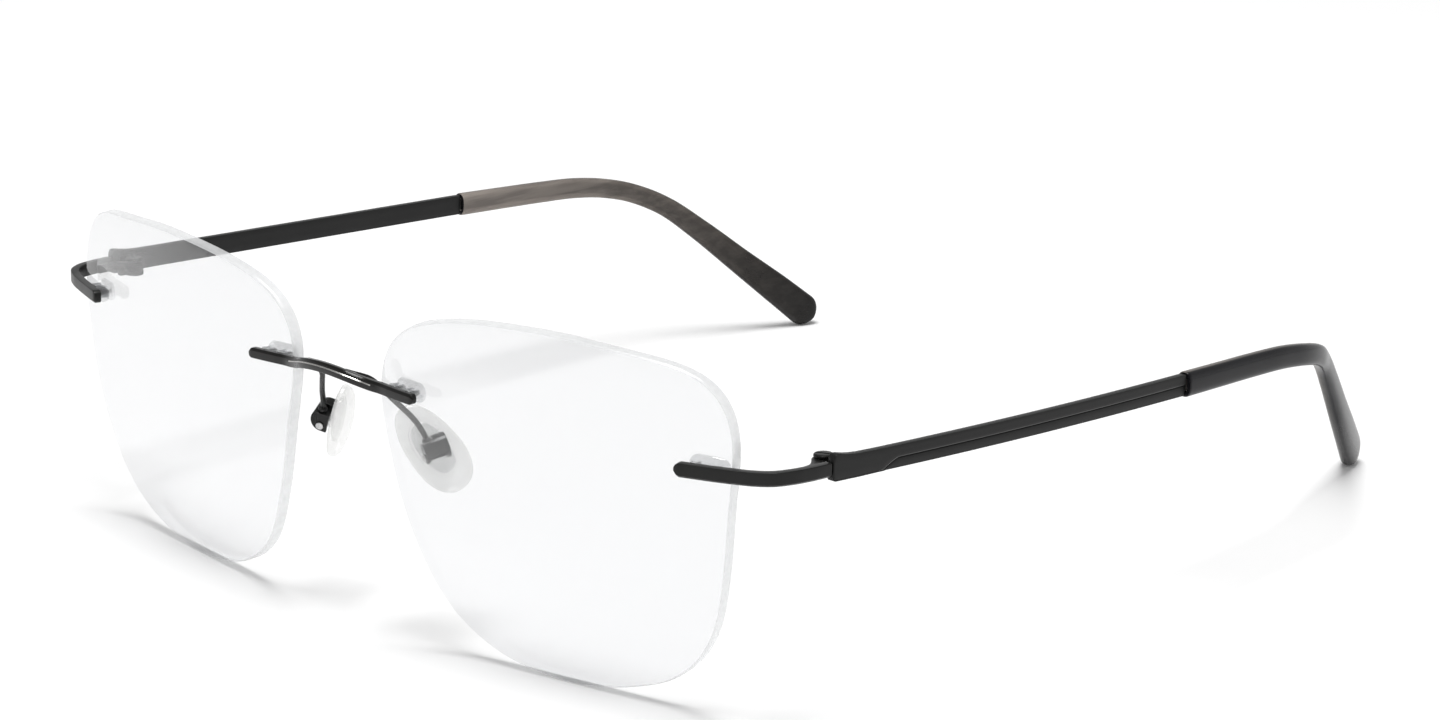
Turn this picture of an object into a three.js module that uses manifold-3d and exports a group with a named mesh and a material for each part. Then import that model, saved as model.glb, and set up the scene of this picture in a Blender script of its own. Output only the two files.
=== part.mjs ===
// Rimless rectangular eyeglasses, temples open. Millimetres, +Z up.
// +X is the wearer's left, -Y is the front, the temples run towards +Y.
// Each lens hangs on four pins in clear double-plug bushings; the temples fold on three-barrel
// hinges and each nose pad rocks on the cross screw of its pad box.
// The left half is built and mirrored; the finished frame is moved to stand on z = 0.
import * as THREE from "three";
import Module from "manifold-3d";
import { mergeVertices } from "three/addons/utils/BufferGeometryUtils.js";

// ---------------------------------------------------------------- driving dimensions
const LENS_RADIUS = 109.4; // curvature of both lens faces
const LENS_THICK = 1.7;
const LENS_CENTRE = [35.62, 0, 23.52]; // boxing centre of the left lens, front face
const LENS_WRAP = 0.1498; // radians, temporal side swept back
const LENS_TILT = -0.095; // radians, lower edge towards the cheek
// Radius of the lens outline about its boxing centre, every 5 degrees from the temporal side,
// anticlockwise seen from the front of the left lens.
const LENS_OUTLINE = [
  26.74, 27.08, 27.65, 28.45, 29.4, 30.32, 30.95, 31.03, 30.43, 29.25, 27.83, 26.47,
  25.32, 24.41, 23.73, 23.26, 22.94, 22.72, 22.62, 22.65, 22.82, 23.14, 23.61, 24.23,
  24.99, 25.89, 26.93, 28.06, 29.08, 29.78, 29.99, 29.66, 28.88, 27.84, 26.79, 25.93,
  25.31, 24.87, 24.55, 24.35, 24.25, 24.25, 24.34, 24.53, 24.74, 24.89, 24.95, 24.93,
  24.87, 24.78, 24.66, 24.5, 24.33, 24.3, 24.38, 24.53, 24.72, 24.92, 25.18, 25.52,
  25.98, 26.54, 27.02, 27.33, 27.46, 27.45, 27.32, 27.09, 26.82, 26.62, 26.53, 26.57,
];
const LENS_CHAMFER = { wide: 0.35, deep: 0.15 }; // both edges of the rim

const HOLE_RADIUS = 0.8; // lens holes
const PIN_RADIUS = 0.34;
const PIN_PITCH = 2.9;
// Middle of each pin pair in lens coordinates, and the slope of the line through its pins.
const NASAL_PINS = { across: -23.3, up: 10.25, slope: 0 };
const TEMPORAL_PINS = { across: 23.9, up: 8.72, slope: -0.09 };
const BUSHING = {
  tubeRadius: 0.68,
  boreRadius: 0.46,
  plateRadius: 1.3, // ends of the stadium-shaped plate
  plateThick: 0.45,
  plateGap: 0.07, // lens back to plate
};

const BAR_GAP = 0.07; // bar back face to lens front
const ENDPIECE = { tall: 1.85, thick: 1.15 };
const BRIDGE = { tall: 1.35, thick: 1.0 };

const HINGE_AXIS = [66.5, 18.85]; // x, y of the left hinge axis, vertical
// Heights of the barrel stack, the two joints between its barrels and the top of the screw head.
const HINGE_Z = { bottom: 31.15, lowJoint: 31.8, highJoint: 32.5, top: 33.1, headTop: 33.6 };
const JOINT_GAP = 0.06; // clearance either side of a joint height
const BARREL_RADIUS = 1.3;
const SCREW_RADIUS = 0.5;
const SCREW_HEAD_RADIUS = 1.3;
const BORE_RADIUS = 0.65;

const TEMPLE_FRONT = 16.85; // y of the temple's front end face
const TEMPLE_HEAD = [69.45, TEMPLE_FRONT, 32.6];
const TEMPLE_JUNCTION = [70.5, 85.47, 29.59]; // where metal enters the tip
const BLADE = { tall: 3.05, thick: 1.1, bow: 0.55, sag: 0.15 }; // bow: outwards at mid-length
const BLADE_OVERRUN = 0.6; // blade length past the junction
const BLADE_FACET = [26, 34]; // start and end, along the blade, of the facet in userData
const WIRE = { tall: 1.7, thick: 0.9 }; // core wire inside the tip
const WIRE_CLEARANCE = 0.3; // added to the wire's section to make the tip's bore
// Centre line behind the junction: x, y, z.
const TEMPLE_BACK = [
  [70.12, 95.0, 29.21],
  [69.75, 103.0, 28.87],
  [69.39, 110.5, 28.4],
  [68.8, 116.65, 27.48],
  [67.35, 121.75, 26.1],
  [64.9, 126.8, 23.55],
  [62.3, 132.65, 18.9],
  [59.4, 139.4, 12.95],
  [56.8, 145.5, 7.65],
  [54.25, 151.5, 2.3],
];
// Tip section along its length: distance from the junction, height, thickness.
const TIP_SECTIONS = [
  [0, 3.5, 2.35],
  [9.5, 3.4, 2.35],
  [17.5, 3.34, 2.3],
  [25, 3.26, 2.22],
  [31, 3.12, 2.15],
  [36.5, 3.08, 2.18],
  [43, 3.2, 2.25],
  [50.5, 3.6, 2.4],
  [60, 4.25, 2.55],
  [68.5, 5.0, 2.7],
  [77, 5.45, 2.85],
];

const PAD_CENTRE = [8.75, 7.4, 24.0];
const PAD_UP = [-0.509, -0.365, 0.78];
const PAD_FACE = [-0.805, 0.523, -0.28]; // from the pad towards the nose
const PAD = { long: 13.2, wide: 7.0, thick: 1.9, taper: 0.13 }; // taper: narrower upper end
const CUP = { along: 3.4, deep: 2.4, wide: 3.3, wall: 0.45 }; // pad box
const CUP_TURN = 20; // degrees the box and its screw are turned about the pad's face direction
const ARM_RADIUS = 0.38; // pad arm wire
const COLLAR_RADIUS = 0.62;

// ---------------------------------------------------------------- materials
const standard = (settings) => new THREE.MeshStandardMaterial(settings);
const clear = (settings) => standard({ metalness: 0, transparent: true, ...settings });
const satinBlack = () => standard({ color: 0x2c2c2c, roughness: 0.45, metalness: 0.7 });
const glossBlack = () => standard({ color: 0x1c1c1a, roughness: 0.2, metalness: 0.7 });
const steel = () => standard({ color: 0xd8d8d8, roughness: 0.25, metalness: 1 });
const acetate = () => standard({ color: 0x4a4644, roughness: 0.2, metalness: 0 });
const lensClear = () => clear({ color: 0xf4f4f4, roughness: 0.05, opacity: 0.15 });
const clearPlastic = () => clear({ color: 0xf2f2f2, roughness: 0.15, opacity: 0.4 });
const silicone = () => clear({ color: 0xeeeeee, roughness: 0.35, opacity: 0.6 });

// ---------------------------------------------------------------- vectors and numbers
const vec = (xyz) => new THREE.Vector3(...xyz);
const cross = (a, b) => new THREE.Vector3().crossVectors(a, b);
const VERTICAL = vec([0, 0, 1]);
const shifted = (point, direction, distance) =>
  point.clone().addScaledVector(direction, distance);
// Turns coordinates along three directions from an origin into a point.
const placer = (origin, dirX, dirY, dirZ) => (x, y, z) =>
  origin
    .clone()
    .addScaledVector(dirX, x)
    .addScaledVector(dirY, y)
    .addScaledVector(dirZ, z);
const basis = (dirX, dirY, dirZ, origin) =>
  new THREE.Matrix4().makeBasis(dirX, dirY, dirZ).setPosition(origin);
const smoothCurve = (points) => new THREE.CatmullRomCurve3(points, false, "centripetal");
const middle = ([low, high]) => (low + high) / 2;
const extent = ([low, high]) => high - low;
const spread = (count, start, end) =>
  Array.from({ length: count }, (_, i) => start + ((end - start) * i) / (count - 1));

// ---------------------------------------------------------------- meshes and solids
const manifold = await Module();
manifold.setup();

function signedVolume(geometry) {
  const position = geometry.getAttribute("position");
  const index = geometry.index.array;
  const [a, b, c] = [0, 1, 2].map(() => new THREE.Vector3());
  let volume = 0;
  for (let i = 0; i < index.length; i += 3) {
    a.fromBufferAttribute(position, index[i]);
    b.fromBufferAttribute(position, index[i + 1]);
    c.fromBufferAttribute(position, index[i + 2]);
    volume += a.dot(b.cross(c));
  }
  return volume / 6;
}

// Keeps positions only, merges shared vertices, drops collapsed triangles and turns the
// faces outwards.
function clean(source) {
  const bare = new THREE.BufferGeometry();
  bare.setAttribute("position", source.getAttribute("position"));
  if (source.index) bare.setIndex(source.index);
  const geometry = mergeVertices(bare, 1e-4);
  const index = geometry.index.array;
  const kept = [];
  for (let i = 0; i < index.length; i += 3) {
    const [a, b, c] = [index[i], index[i + 1], index[i + 2]];
    if (a !== b && b !== c && a !== c) kept.push(a, b, c);
  }
  geometry.setIndex(kept);
  if (signedVolume(geometry) < 0) {
    for (let i = 0; i < kept.length; i += 3) {
      [kept[i + 1], kept[i + 2]] = [kept[i + 2], kept[i + 1]];
    }
    geometry.setIndex(kept);
  }
  return geometry;
}

function toSolid(source) {
  const geometry = clean(source);
  return new manifold.Manifold(
    new manifold.Mesh({
      numProp: 3,
      vertProperties: new Float32Array(geometry.getAttribute("position").array),
      triVerts: new Uint32Array(geometry.index.array),
    }),
  );
}

function fromSolid(solid) {
  const mesh = solid.getMesh();
  const stride = mesh.numProp;
  const positions = new Float32Array(mesh.numVert * 3);
  for (let i = 0; i < mesh.numVert; i++) {
    positions.set(mesh.vertProperties.subarray(i * stride, i * stride + 3), i * 3);
  }
  return new THREE.BufferGeometry()
    .setAttribute("position", new THREE.BufferAttribute(positions, 3))
    .setIndex(new THREE.BufferAttribute(new Uint32Array(mesh.triVerts), 1));
}

const cut = (first, ...others) =>
  fromSolid(others.reduce((solid, other) => solid.subtract(toSolid(other)), toSolid(first)));
const join = (first, ...others) =>
  fromSolid(others.reduce((solid, other) => solid.add(toSolid(other)), toSolid(first)));
const mirrorX = (geometry) => clean(geometry.clone().scale(-1, 1, 1));

// ---------------------------------------------------------------- shape builders
// Moves each vertex to at(radius, angle, y), its cylindrical coordinates about the Y axis.
function reshape(geometry, at) {
  const position = geometry.getAttribute("position");
  for (let i = 0; i < position.count; i++) {
    const x = position.getX(i);
    const z = position.getZ(i);
    const point = at(Math.hypot(x, z), Math.atan2(z, x), position.getY(i));
    position.setXYZ(i, point.x, point.y, point.z);
  }
  return clean(geometry);
}

// A profile of [radius, height] pairs turned about the Y axis, then reshaped.
function revolve(profile, segments, at) {
  const points = profile.map(([radius, height]) => new THREE.Vector2(radius, height));
  return reshape(new THREE.LatheGeometry(points, segments), at);
}

// A cylinder grid bent onto sections: at(share, angle) is the surface point for a share of
// the length and an angle round it, and centre(share) is the section's centre.
function loft(stations, segments, at, centre) {
  const last = stations.length - 1;
  const grid = new THREE.CylinderGeometry(1, 1, 1, segments, last, false);
  return reshape(grid, (radius, angle, y) => {
    const share = stations[Math.round((y + 0.5) * last)];
    return radius < 0.5 ? centre(share) : at(share, angle);
  });
}

// Superellipse section: power 2 is an ellipse, higher is squarer.
function superPoint(halfX, halfY, power, angle) {
  const cos = Math.cos(angle);
  const sin = Math.sin(angle);
  return [
    halfX * Math.sign(cos) * Math.abs(cos) ** (2 / power),
    halfY * Math.sign(sin) * Math.abs(sin) ** (2 / power),
  ];
}

// The horizontal direction to the right of a direction of travel, seen from above.
const rightOf = (direction) => cross(direction, VERTICAL).normalize();

// A bar along a curve; size(share) gives { tall, thick, power }, thickness is horizontal.
function bar(curve, stations, segments, size) {
  return loft(
    stations,
    segments,
    (share, angle) => {
      const tangent = curve.getTangentAt(share);
      const right = rightOf(tangent);
      const down = cross(tangent, right).normalize();
      const { tall, thick, power } = size(share);
      const [x, y] = superPoint(thick / 2, tall / 2, power, angle);
      return curve.getPointAt(share).addScaledVector(right, x).addScaledVector(down, y);
    },
    (share) => curve.getPointAt(share),
  );
}

// Scale of a section at a distance from a bar's end that is rounded with the given radius.
const roundedEnd = (distance, radius) =>
  Math.sqrt(Math.max(0.12, 1 - (1 - Math.min(1, distance / radius)) ** 2));

// Cylinder between two points.
function rod(start, end, radius, segments) {
  const span = end.clone().sub(start);
  const turn = new THREE.Quaternion().setFromUnitVectors(
    vec([0, 1, 0]),
    span.clone().normalize(),
  );
  const centre = start.clone().add(end).multiplyScalar(0.5);
  return clean(
    new THREE.CylinderGeometry(radius, radius, span.length(), segments)
      .applyQuaternion(turn)
      .translate(centre.x, centre.y, centre.z),
  );
}
// Cylinder along an axis through a point, between two distances from that point.
const rodAlong = (point, axis, from, to, radius, segments) =>
  rod(shifted(point, axis, from), shifted(point, axis, to), radius, segments);

// Box given by its [low, high] range on each axis.
const block = (...ranges) =>
  new THREE.BoxGeometry(...ranges.map(extent)).translate(...ranges.map(middle));

// ---------------------------------------------------------------- lens frame
// Lens coordinates: across towards the temple, up, and out from the front face.
const lensOut = vec([
  Math.sin(LENS_WRAP) * Math.cos(LENS_TILT),
  -Math.cos(LENS_WRAP) * Math.cos(LENS_TILT),
  Math.sin(LENS_TILT),
]);
const lensAcross = vec([Math.cos(LENS_WRAP), Math.sin(LENS_WRAP), 0]);
const lensUp = cross(lensOut, lensAcross).normalize();
const lensPlane = placer(vec(LENS_CENTRE), lensAcross, lensUp, lensOut);

// Point above the curved front face by the given height; negative is inside the lens.
function onLens(across, up, height = 0) {
  const square = across * across + up * up;
  const sag = -square / (LENS_RADIUS + Math.sqrt(LENS_RADIUS * LENS_RADIUS - square));
  return lensPlane(across, up, sag + height);
}
const lensNormal = (across, up) =>
  lensOut
    .clone()
    .multiplyScalar(Math.sqrt(LENS_RADIUS ** 2 - across * across - up * up))
    .addScaledVector(lensAcross, across)
    .addScaledVector(lensUp, up)
    .normalize();

// Two pins square to the lens face: middle, axis, direction from one to the other, centres.
function pinPair({ across, up, slope }) {
  const step = 0.5; // half the chord that gives the direction between the pins
  const axis = lensNormal(across, up);
  const along = onLens(across + step, up + step * slope)
    .sub(onLens(across - step, up - step * slope))
    .normalize();
  along.addScaledVector(axis, -along.dot(axis)).normalize();
  const centre = onLens(across, up);
  const pins = [-1, 1].map((side) => shifted(centre, along, (side * PIN_PITCH) / 2));
  return { centre, axis, along, pins };
}
const nasalPair = pinPair(NASAL_PINS);
const temporalPair = pinPair(TEMPORAL_PINS);

// ---------------------------------------------------------------- lens
function lensBlank() {
  const count = LENS_OUTLINE.length;
  const chamferRing = 0.96; // stands for the inner edge of the chamfer
  const rings = [0.4, 0.74, chamferRing];
  const profile = [
    [0, 0],
    ...rings.map((ring) => [ring, 0]),
    [1, -LENS_CHAMFER.deep],
    [1, -LENS_THICK + LENS_CHAMFER.deep],
    ...rings.toReversed().map((ring) => [ring, -LENS_THICK]),
    [0, -LENS_THICK],
  ];
  return revolve(profile, count, (ring, rawAngle, height) => {
    const step = Math.round((rawAngle / (2 * Math.PI)) * count);
    const angle = (step * 2 * Math.PI) / count;
    const rim = LENS_OUTLINE[(step + count) % count];
    let radius = ring * rim;
    if (ring > 0.99) radius = rim;
    else if (ring > chamferRing - 0.01) radius = rim - LENS_CHAMFER.wide;
    return onLens(radius * Math.cos(angle), radius * Math.sin(angle), height);
  });
}

function lensWithHoles() {
  const holes = [nasalPair, temporalPair].flatMap(({ pins, axis }) =>
    pins.map((centre) => rodAlong(centre, axis, 2, -5, HOLE_RADIUS, 16)),
  );
  return cut(lensBlank(), ...holes);
}

// ---------------------------------------------------------------- bushings and pins
// Clear double plug: a stadium plate behind the lens with two tubes through the lens holes.
function bushing({ centre, axis, along, pins }) {
  const { tubeRadius, boreRadius, plateRadius, plateThick, plateGap } = BUSHING;
  const stadium = new THREE.Shape();
  const half = PIN_PITCH / 2;
  stadium.absarc(half, 0, plateRadius, -Math.PI / 2, Math.PI / 2, false);
  stadium.absarc(-half, 0, plateRadius, Math.PI / 2, (3 * Math.PI) / 2, false);
  const back = shifted(centre, axis, -LENS_THICK - plateGap - plateThick);
  const plate = new THREE.ExtrudeGeometry(stadium, {
    depth: plateThick,
    bevelEnabled: false,
    curveSegments: 6,
  }).applyMatrix4(basis(along, cross(axis, along), axis, back));
  const rods = (from, to, radius) =>
    pins.map((point) => rodAlong(point, axis, from, to, radius, 12));
  return cut(
    join(plate, ...rods(-LENS_THICK - 0.3, -0.12, tubeRadius)),
    ...rods(-LENS_THICK - 3, 1, boreRadius),
  );
}

// Pin from just inside the bar's back face to behind the lens.
const pin = ({ pins, axis }, which) =>
  rodAlong(pins[which], axis, -LENS_THICK - 0.4, BAR_GAP - 0.04, PIN_RADIUS, 10);

// ---------------------------------------------------------------- endpiece
// Runs over the temporal pins, then turns back to the front of the temple.
function endpiece() {
  const height = BAR_GAP + ENDPIECE.thick / 2;
  const curve = smoothCurve([
    onLens(20.45, 8.82, height),
    onLens(22.5, 8.78, height),
    onLens(25.0, 8.7, height),
    onLens(27.6, 8.66, height + 0.05),
    vec([65.35, 7.65, 32.5]),
    vec([67.4, 8.95, 32.63]),
    vec([68.55, 11.0, 32.7]),
    vec([69.1, 13.8, 32.66]),
    vec([69.35, TEMPLE_FRONT - 0.2, 32.62]),
  ]);
  const length = curve.getLength();
  // Shares of the length, closer together at the rounded nasal end.
  const stations = [
    0, 0.008, 0.02, 0.04, 0.07, 0.13, 0.2, 0.28, 0.35, 0.41,
    0.47, 0.52, 0.57, 0.62, 0.68, 0.75, 0.83, 0.92, 1,
  ];
  return bar(curve, stations, 12, (share) => {
    const scale = roundedEnd(share * length, 0.95);
    return {
      tall: ENDPIECE.tall * scale,
      thick: ENDPIECE.thick * (0.75 + 0.25 * scale),
      power: 5,
    };
  });
}

// ---------------------------------------------------------------- hinge
const [hingeX, hingeY] = HINGE_AXIS;
const hingeRod = (low, high, radius, segments) =>
  rod(vec([hingeX, hingeY, low]), vec([hingeX, hingeY, high]), radius, segments);
const barrel = (low, high) => hingeRod(low, high, BARREL_RADIUS, 20);
const bore = (low, high) => hingeRod(low, high, BORE_RADIUS, 14);

// Upper lug, flowing from the leaf into the upper barrel.
function hingeLug() {
  // Plan outline: x, y.
  const outline = [
    [67.6, 13.4],
    [68.2, 13.4],
    [68.2, 16.8],
    [67.5, 17.7],
    [66.5, 18.4],
    [65.35, 18.3],
    [65.8, 17.35],
    [66.55, 16.55],
    [67.15, 15.7],
    [67.5, 14.6],
  ];
  const shape = new THREE.Shape(outline.map(([x, y]) => new THREE.Vector2(x, y)));
  shape.closePath();
  return new THREE.ExtrudeGeometry(shape, {
    depth: HINGE_Z.top - HINGE_Z.highJoint - JOINT_GAP,
    bevelEnabled: false,
    curveSegments: 1,
  }).translate(0, 0, HINGE_Z.highJoint + JOINT_GAP);
}

// Front half: two barrels on a leaf at the inner side of the endpiece. A short post behind
// the leaf carries the lower barrel.
function hingeFront() {
  const { bottom, lowJoint, highJoint, top } = HINGE_Z;
  const postX = [66.65, 67.5];
  const postFront = 16.6;
  const postBottom = bottom + 0.05;
  const leaf = block([67.55, 68.2], [13.4, 16.7], [31.95, 33.2]);
  const post = block(postX, [postFront, 17.3], [postBottom, 32.9]);
  const foot = block(postX, [postFront, hingeY - 0.3], [postBottom, lowJoint - JOINT_GAP]);
  return cut(
    join(
      leaf,
      hingeLug(),
      post,
      foot,
      barrel(bottom, lowJoint - JOINT_GAP),
      barrel(highJoint + JOINT_GAP, top),
    ),
    bore(bottom + 0.12, top + 1),
  );
}

// Rear half: one barrel between them, on a foot at the inner side of the temple.
function hingeRear() {
  const { lowJoint, highJoint } = HINGE_Z;
  const bladeInner = TEMPLE_HEAD[0] - BLADE.thick / 2;
  const arm = block(
    [hingeX, bladeInner - 0.08],
    [hingeY - 0.2, hingeY + 1.3],
    [lowJoint + 0.08, highJoint - 0.08],
  );
  const foot = block(
    [bladeInner - 0.65, bladeInner - 0.06],
    [hingeY - 1.0, hingeY + 3.4],
    [31.35, 33.45],
  );
  return cut(
    join(barrel(lowJoint + JOINT_GAP, highJoint - JOINT_GAP), arm, foot),
    bore(lowJoint - 1, highJoint + 1),
  );
}

// Slotted screw down through all three barrels.
function hingeScrew() {
  const { bottom, top, headTop } = HINGE_Z;
  const slot = block(
    [hingeX - 2, hingeX + 2],
    [hingeY - 0.16, hingeY + 0.16],
    [headTop - 0.28, headTop + 1],
  );
  return cut(
    join(
      hingeRod(bottom + 0.2, top + 0.3, SCREW_RADIUS, 12),
      hingeRod(top + 0.05, headTop, SCREW_HEAD_RADIUS, 20),
    ),
    slot,
  );
}

// ---------------------------------------------------------------- temple
const backCurve = smoothCurve([TEMPLE_JUNCTION, ...TEMPLE_BACK].map(vec));
const backLength = backCurve.getLength();
const bladeDirection = vec(TEMPLE_JUNCTION).sub(vec(TEMPLE_HEAD));
const bladeLength = bladeDirection.length();
bladeDirection.normalize();
const bladeOut = rightOf(bladeDirection);
const bladeUp = cross(bladeOut, bladeDirection).normalize();
const bladeFrame = placer(vec(TEMPLE_HEAD), bladeDirection, bladeOut, bladeUp);

// A point of the blade, which bows outwards and down at mid-length.
function bladeAt(distance, out, up) {
  const share = Math.min(1, distance / bladeLength);
  const bend = 4 * share * (1 - share);
  return bladeFrame(distance, out + BLADE.bow * bend, up - BLADE.sag * bend);
}

// Flat blade from the hinge to just past the junction. The top edge flares up a little at
// the hinge and the lower front corner is rounded.
function blade() {
  const halfTall = BLADE.tall / 2;
  const halfThick = BLADE.thick / 2;
  const plainDistances = [11, 18, ...BLADE_FACET, 42, 50, 58, 64, bladeLength + BLADE_OVERRUN];
  // Distance, then the bottom and top edges measured upwards from -halfTall and halfTall.
  const sections = [
    [0, 0.45, -0.25],
    [0.15, 0.12, 0.02],
    [0.35, 0.04, 0.38],
    [0.5, 0, 0.4],
    [0.9, 0, 0.45],
    [2.2, 0, 0.2],
    [4.6, 0, -0.02],
    ...plainDistances.map((distance) => [distance, 0.05, -0.05]),
  ];
  const points = sections.flatMap(([distance, bottom, top]) => [
    bladeAt(distance, -halfThick, -halfTall + bottom),
    bladeAt(distance, halfThick, -halfTall + bottom),
    bladeAt(distance, halfThick, halfTall + top),
    bladeAt(distance, -halfThick, halfTall + top),
  ]);
  const last = points.length - 4;
  const triangles = [
    [0, 1, 2],
    [0, 2, 3],
    [last, last + 2, last + 1],
    [last, last + 3, last + 2],
  ];
  for (let i = 0; i < last; i += 4) {
    for (let corner = 0; corner < 4; corner++) {
      const a = i + corner;
      const b = i + ((corner + 1) % 4);
      triangles.push([a, a + 4, b], [b, a + 4, b + 4]);
    }
  }
  const positions = points.flatMap((point) => point.toArray());
  return new THREE.BufferGeometry()
    .setAttribute("position", new THREE.Float32BufferAttribute(positions, 3))
    .setIndex(triangles.flat());
}

// Wire along the back curve, stopping short of its end; extra enlarges the section.
const wire = (extra, short) =>
  bar(backCurve, spread(15, 0, 1 - short / backLength), 8, () => ({
    tall: WIRE.tall + extra,
    thick: WIRE.thick + extra,
    power: 4,
  }));

const temple = () => join(blade(), wire(0, 5.5));

function tipSize(share) {
  const distance = share * backLength;
  const end = roundedEnd(backLength - distance, 2.5);
  let i = 0;
  while (i < TIP_SECTIONS.length - 2 && distance > TIP_SECTIONS[i + 1][0]) i++;
  const [start, startTall, startThick] = TIP_SECTIONS[i];
  const [next, nextTall, nextThick] = TIP_SECTIONS[i + 1];
  const part = (distance - start) / (next - start);
  return {
    tall: (startTall + (nextTall - startTall) * part) * end,
    thick: (startThick + (nextThick - startThick) * part) * (0.5 + 0.5 * end),
    power: 2.6,
  };
}

// Acetate tip: a sleeve over the core wire, widening to a rounded paddle.
function templeTip() {
  const fromEnd = (distance) => 1 - distance / backLength;
  const stations = [
    0.9 / backLength,
    ...spread(17, 2.0 / backLength, fromEnd(3.2)),
    ...[2.1, 1.2, 0.55, 0.18, 0].map(fromEnd),
  ];
  return cut(bar(backCurve, stations, 14, tipSize), wire(WIRE_CLEARANCE, 4.9));
}

// ---------------------------------------------------------------- bridge
// Runs over the nasal pins of both lenses and arches between them.
function bridge() {
  const height = BAR_GAP + BRIDGE.thick / 2;
  const leftHalf = [
    vec([2.2, -3.76, 35.3]),
    vec([4.2, -3.36, 34.97]),
    vec([6.0, -2.6, 34.46]),
    vec([7.6, -2.1, 34.16]),
    onLens(-26.5, 10.27, height + 0.03),
    onLens(-24.5, 10.27, height),
    onLens(-22.2, 10.27, height),
    onLens(-19.85, 10.27, height),
  ];
  const rightHalf = leftHalf.toReversed().map(({ x, y, z }) => vec([-x, y, z]));
  const curve = smoothCurve([...rightHalf, vec([0, -3.86, 35.41]), ...leftHalf]);
  const length = curve.getLength();
  // Shares of the length, closer together at the rounded ends.
  const stations = [
    0, 0.012, 0.03, 0.06, 0.1, 0.15, 0.2, 0.25, 0.3, 0.35, 0.4, 0.45, 0.5,
    0.55, 0.6, 0.65, 0.7, 0.75, 0.8, 0.85, 0.9, 0.94, 0.97, 0.988, 1,
  ];
  return bar(curve, stations, 12, (share) => {
    const distance = Math.min(share, 1 - share) * length;
    const scale = roundedEnd(distance, 0.65);
    // 0 over the lenses, 1 in the arch, which is heavier and rounder.
    const arch = THREE.MathUtils.smoothstep(distance, 6.5, 10.5);
    return {
      tall: (BRIDGE.tall + 0.05 * arch) * scale,
      thick: (BRIDGE.thick + 0.15 * arch) * (0.75 + 0.25 * scale),
      power: 4 - 1.4 * arch,
    };
  });
}

// ---------------------------------------------------------------- nose pad
// Pad coordinates: across, up its length, and towards the nose.
const padCentre = vec(PAD_CENTRE);
const padUp = vec(PAD_UP).normalize();
const padFace = vec(PAD_FACE).addScaledVector(padUp, -vec(PAD_FACE).dot(padUp)).normalize();
const padAcross = cross(padUp, padFace).normalize();
const padPoint = placer(padCentre, padAcross, padUp, padFace);
const PAD_BACK = -PAD.thick / 2;

// Oval plug in pad coordinates between two depths.
function oval(halfWide, halfLong, back, front) {
  const depth = (share) => back + (front - back) * share;
  return loft(
    [0, 1],
    20,
    (share, angle) => padPoint(...superPoint(halfWide, halfLong, 2.2, angle), depth(share)),
    (share) => padPoint(0, 0, depth(share)),
  );
}

// Silicone body: a domed face towards the nose and a flat back with a pocket for the insert.
function nosePad() {
  // Share of the outline, share of the thickness.
  const profile = [
    [0, 0.5],
    [0.5, 0.48],
    [0.8, 0.36],
    [0.95, 0.12],
    [1, -0.15],
    [0.97, -0.42],
    [0.88, -0.5],
    [0, -0.5],
  ];
  const padBody = revolve(profile, 24, (ring, angle, depth) => {
    const [x, y] = superPoint(PAD.wide / 2, PAD.long / 2, 2.25, angle);
    const narrowed = x * (1 - PAD.taper * (y / (PAD.long / 2)));
    return padPoint(narrowed * ring, y * ring, depth * PAD.thick);
  });
  return cut(padBody, oval(2.3, 4.1, PAD_BACK - 1, PAD_BACK + 0.65));
}

// ---------------------------------------------------------------- pad box
// The box hangs behind the pad and its screw runs across it. Box coordinates: along the
// screw, up, and towards the nose.
const turn = THREE.MathUtils.degToRad(CUP_TURN);
const turned = (acrossShare, upShare) =>
  padAcross.clone().multiplyScalar(acrossShare).addScaledVector(padUp, upShare);
const cupAcross = turned(Math.cos(turn), Math.sin(turn));
const cupUp = turned(-Math.sin(turn), Math.cos(turn));
const cupPoint = placer(padCentre, cupAcross, cupUp, padFace);
const CUP_MOUTH = -1.55;
const CUP_BACK = CUP_MOUTH - CUP.deep;
const CUP_SIDE = CUP.wide / 2;
const PIVOT_UP = -0.85; // height and depth of the cross screw
const PIVOT_DEPTH = CUP_MOUTH - 0.95;
const SEAT_UP = 1.0; // the cheek on the + side stops here, below the pad arm's collar

// Cylinder on the cross screw's axis.
const pivotRod = (from, to, radius, segments) =>
  rod(
    cupPoint(from, PIVOT_UP, PIVOT_DEPTH),
    cupPoint(to, PIVOT_UP, PIVOT_DEPTH),
    radius,
    segments,
  );
// Box given by its [low, high] ranges in box coordinates.
const cupBlock = (...ranges) =>
  new THREE.BoxGeometry(...ranges.map(extent)).applyMatrix4(
    basis(cupAcross, cupUp, padFace, cupPoint(...ranges.map(middle))),
  );

// Rigid clear insert: a plate in the pocket and a lug that hangs on the cross screw.
function padInsert() {
  const half = 0.6; // half width of the lug and radius of its end
  const lug = cupBlock(
    [-half, half],
    [PIVOT_UP - 0.55, PIVOT_UP + 0.6],
    [PIVOT_DEPTH, PAD_BACK + 0.25],
  );
  return cut(
    join(
      oval(2.0, 3.8, PAD_BACK + 0.02, PAD_BACK + 0.5),
      lug,
      pivotRod(-half, half, half, 14),
    ),
    pivotRod(-2, 2, 0.4, 10),
  );
}

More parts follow.
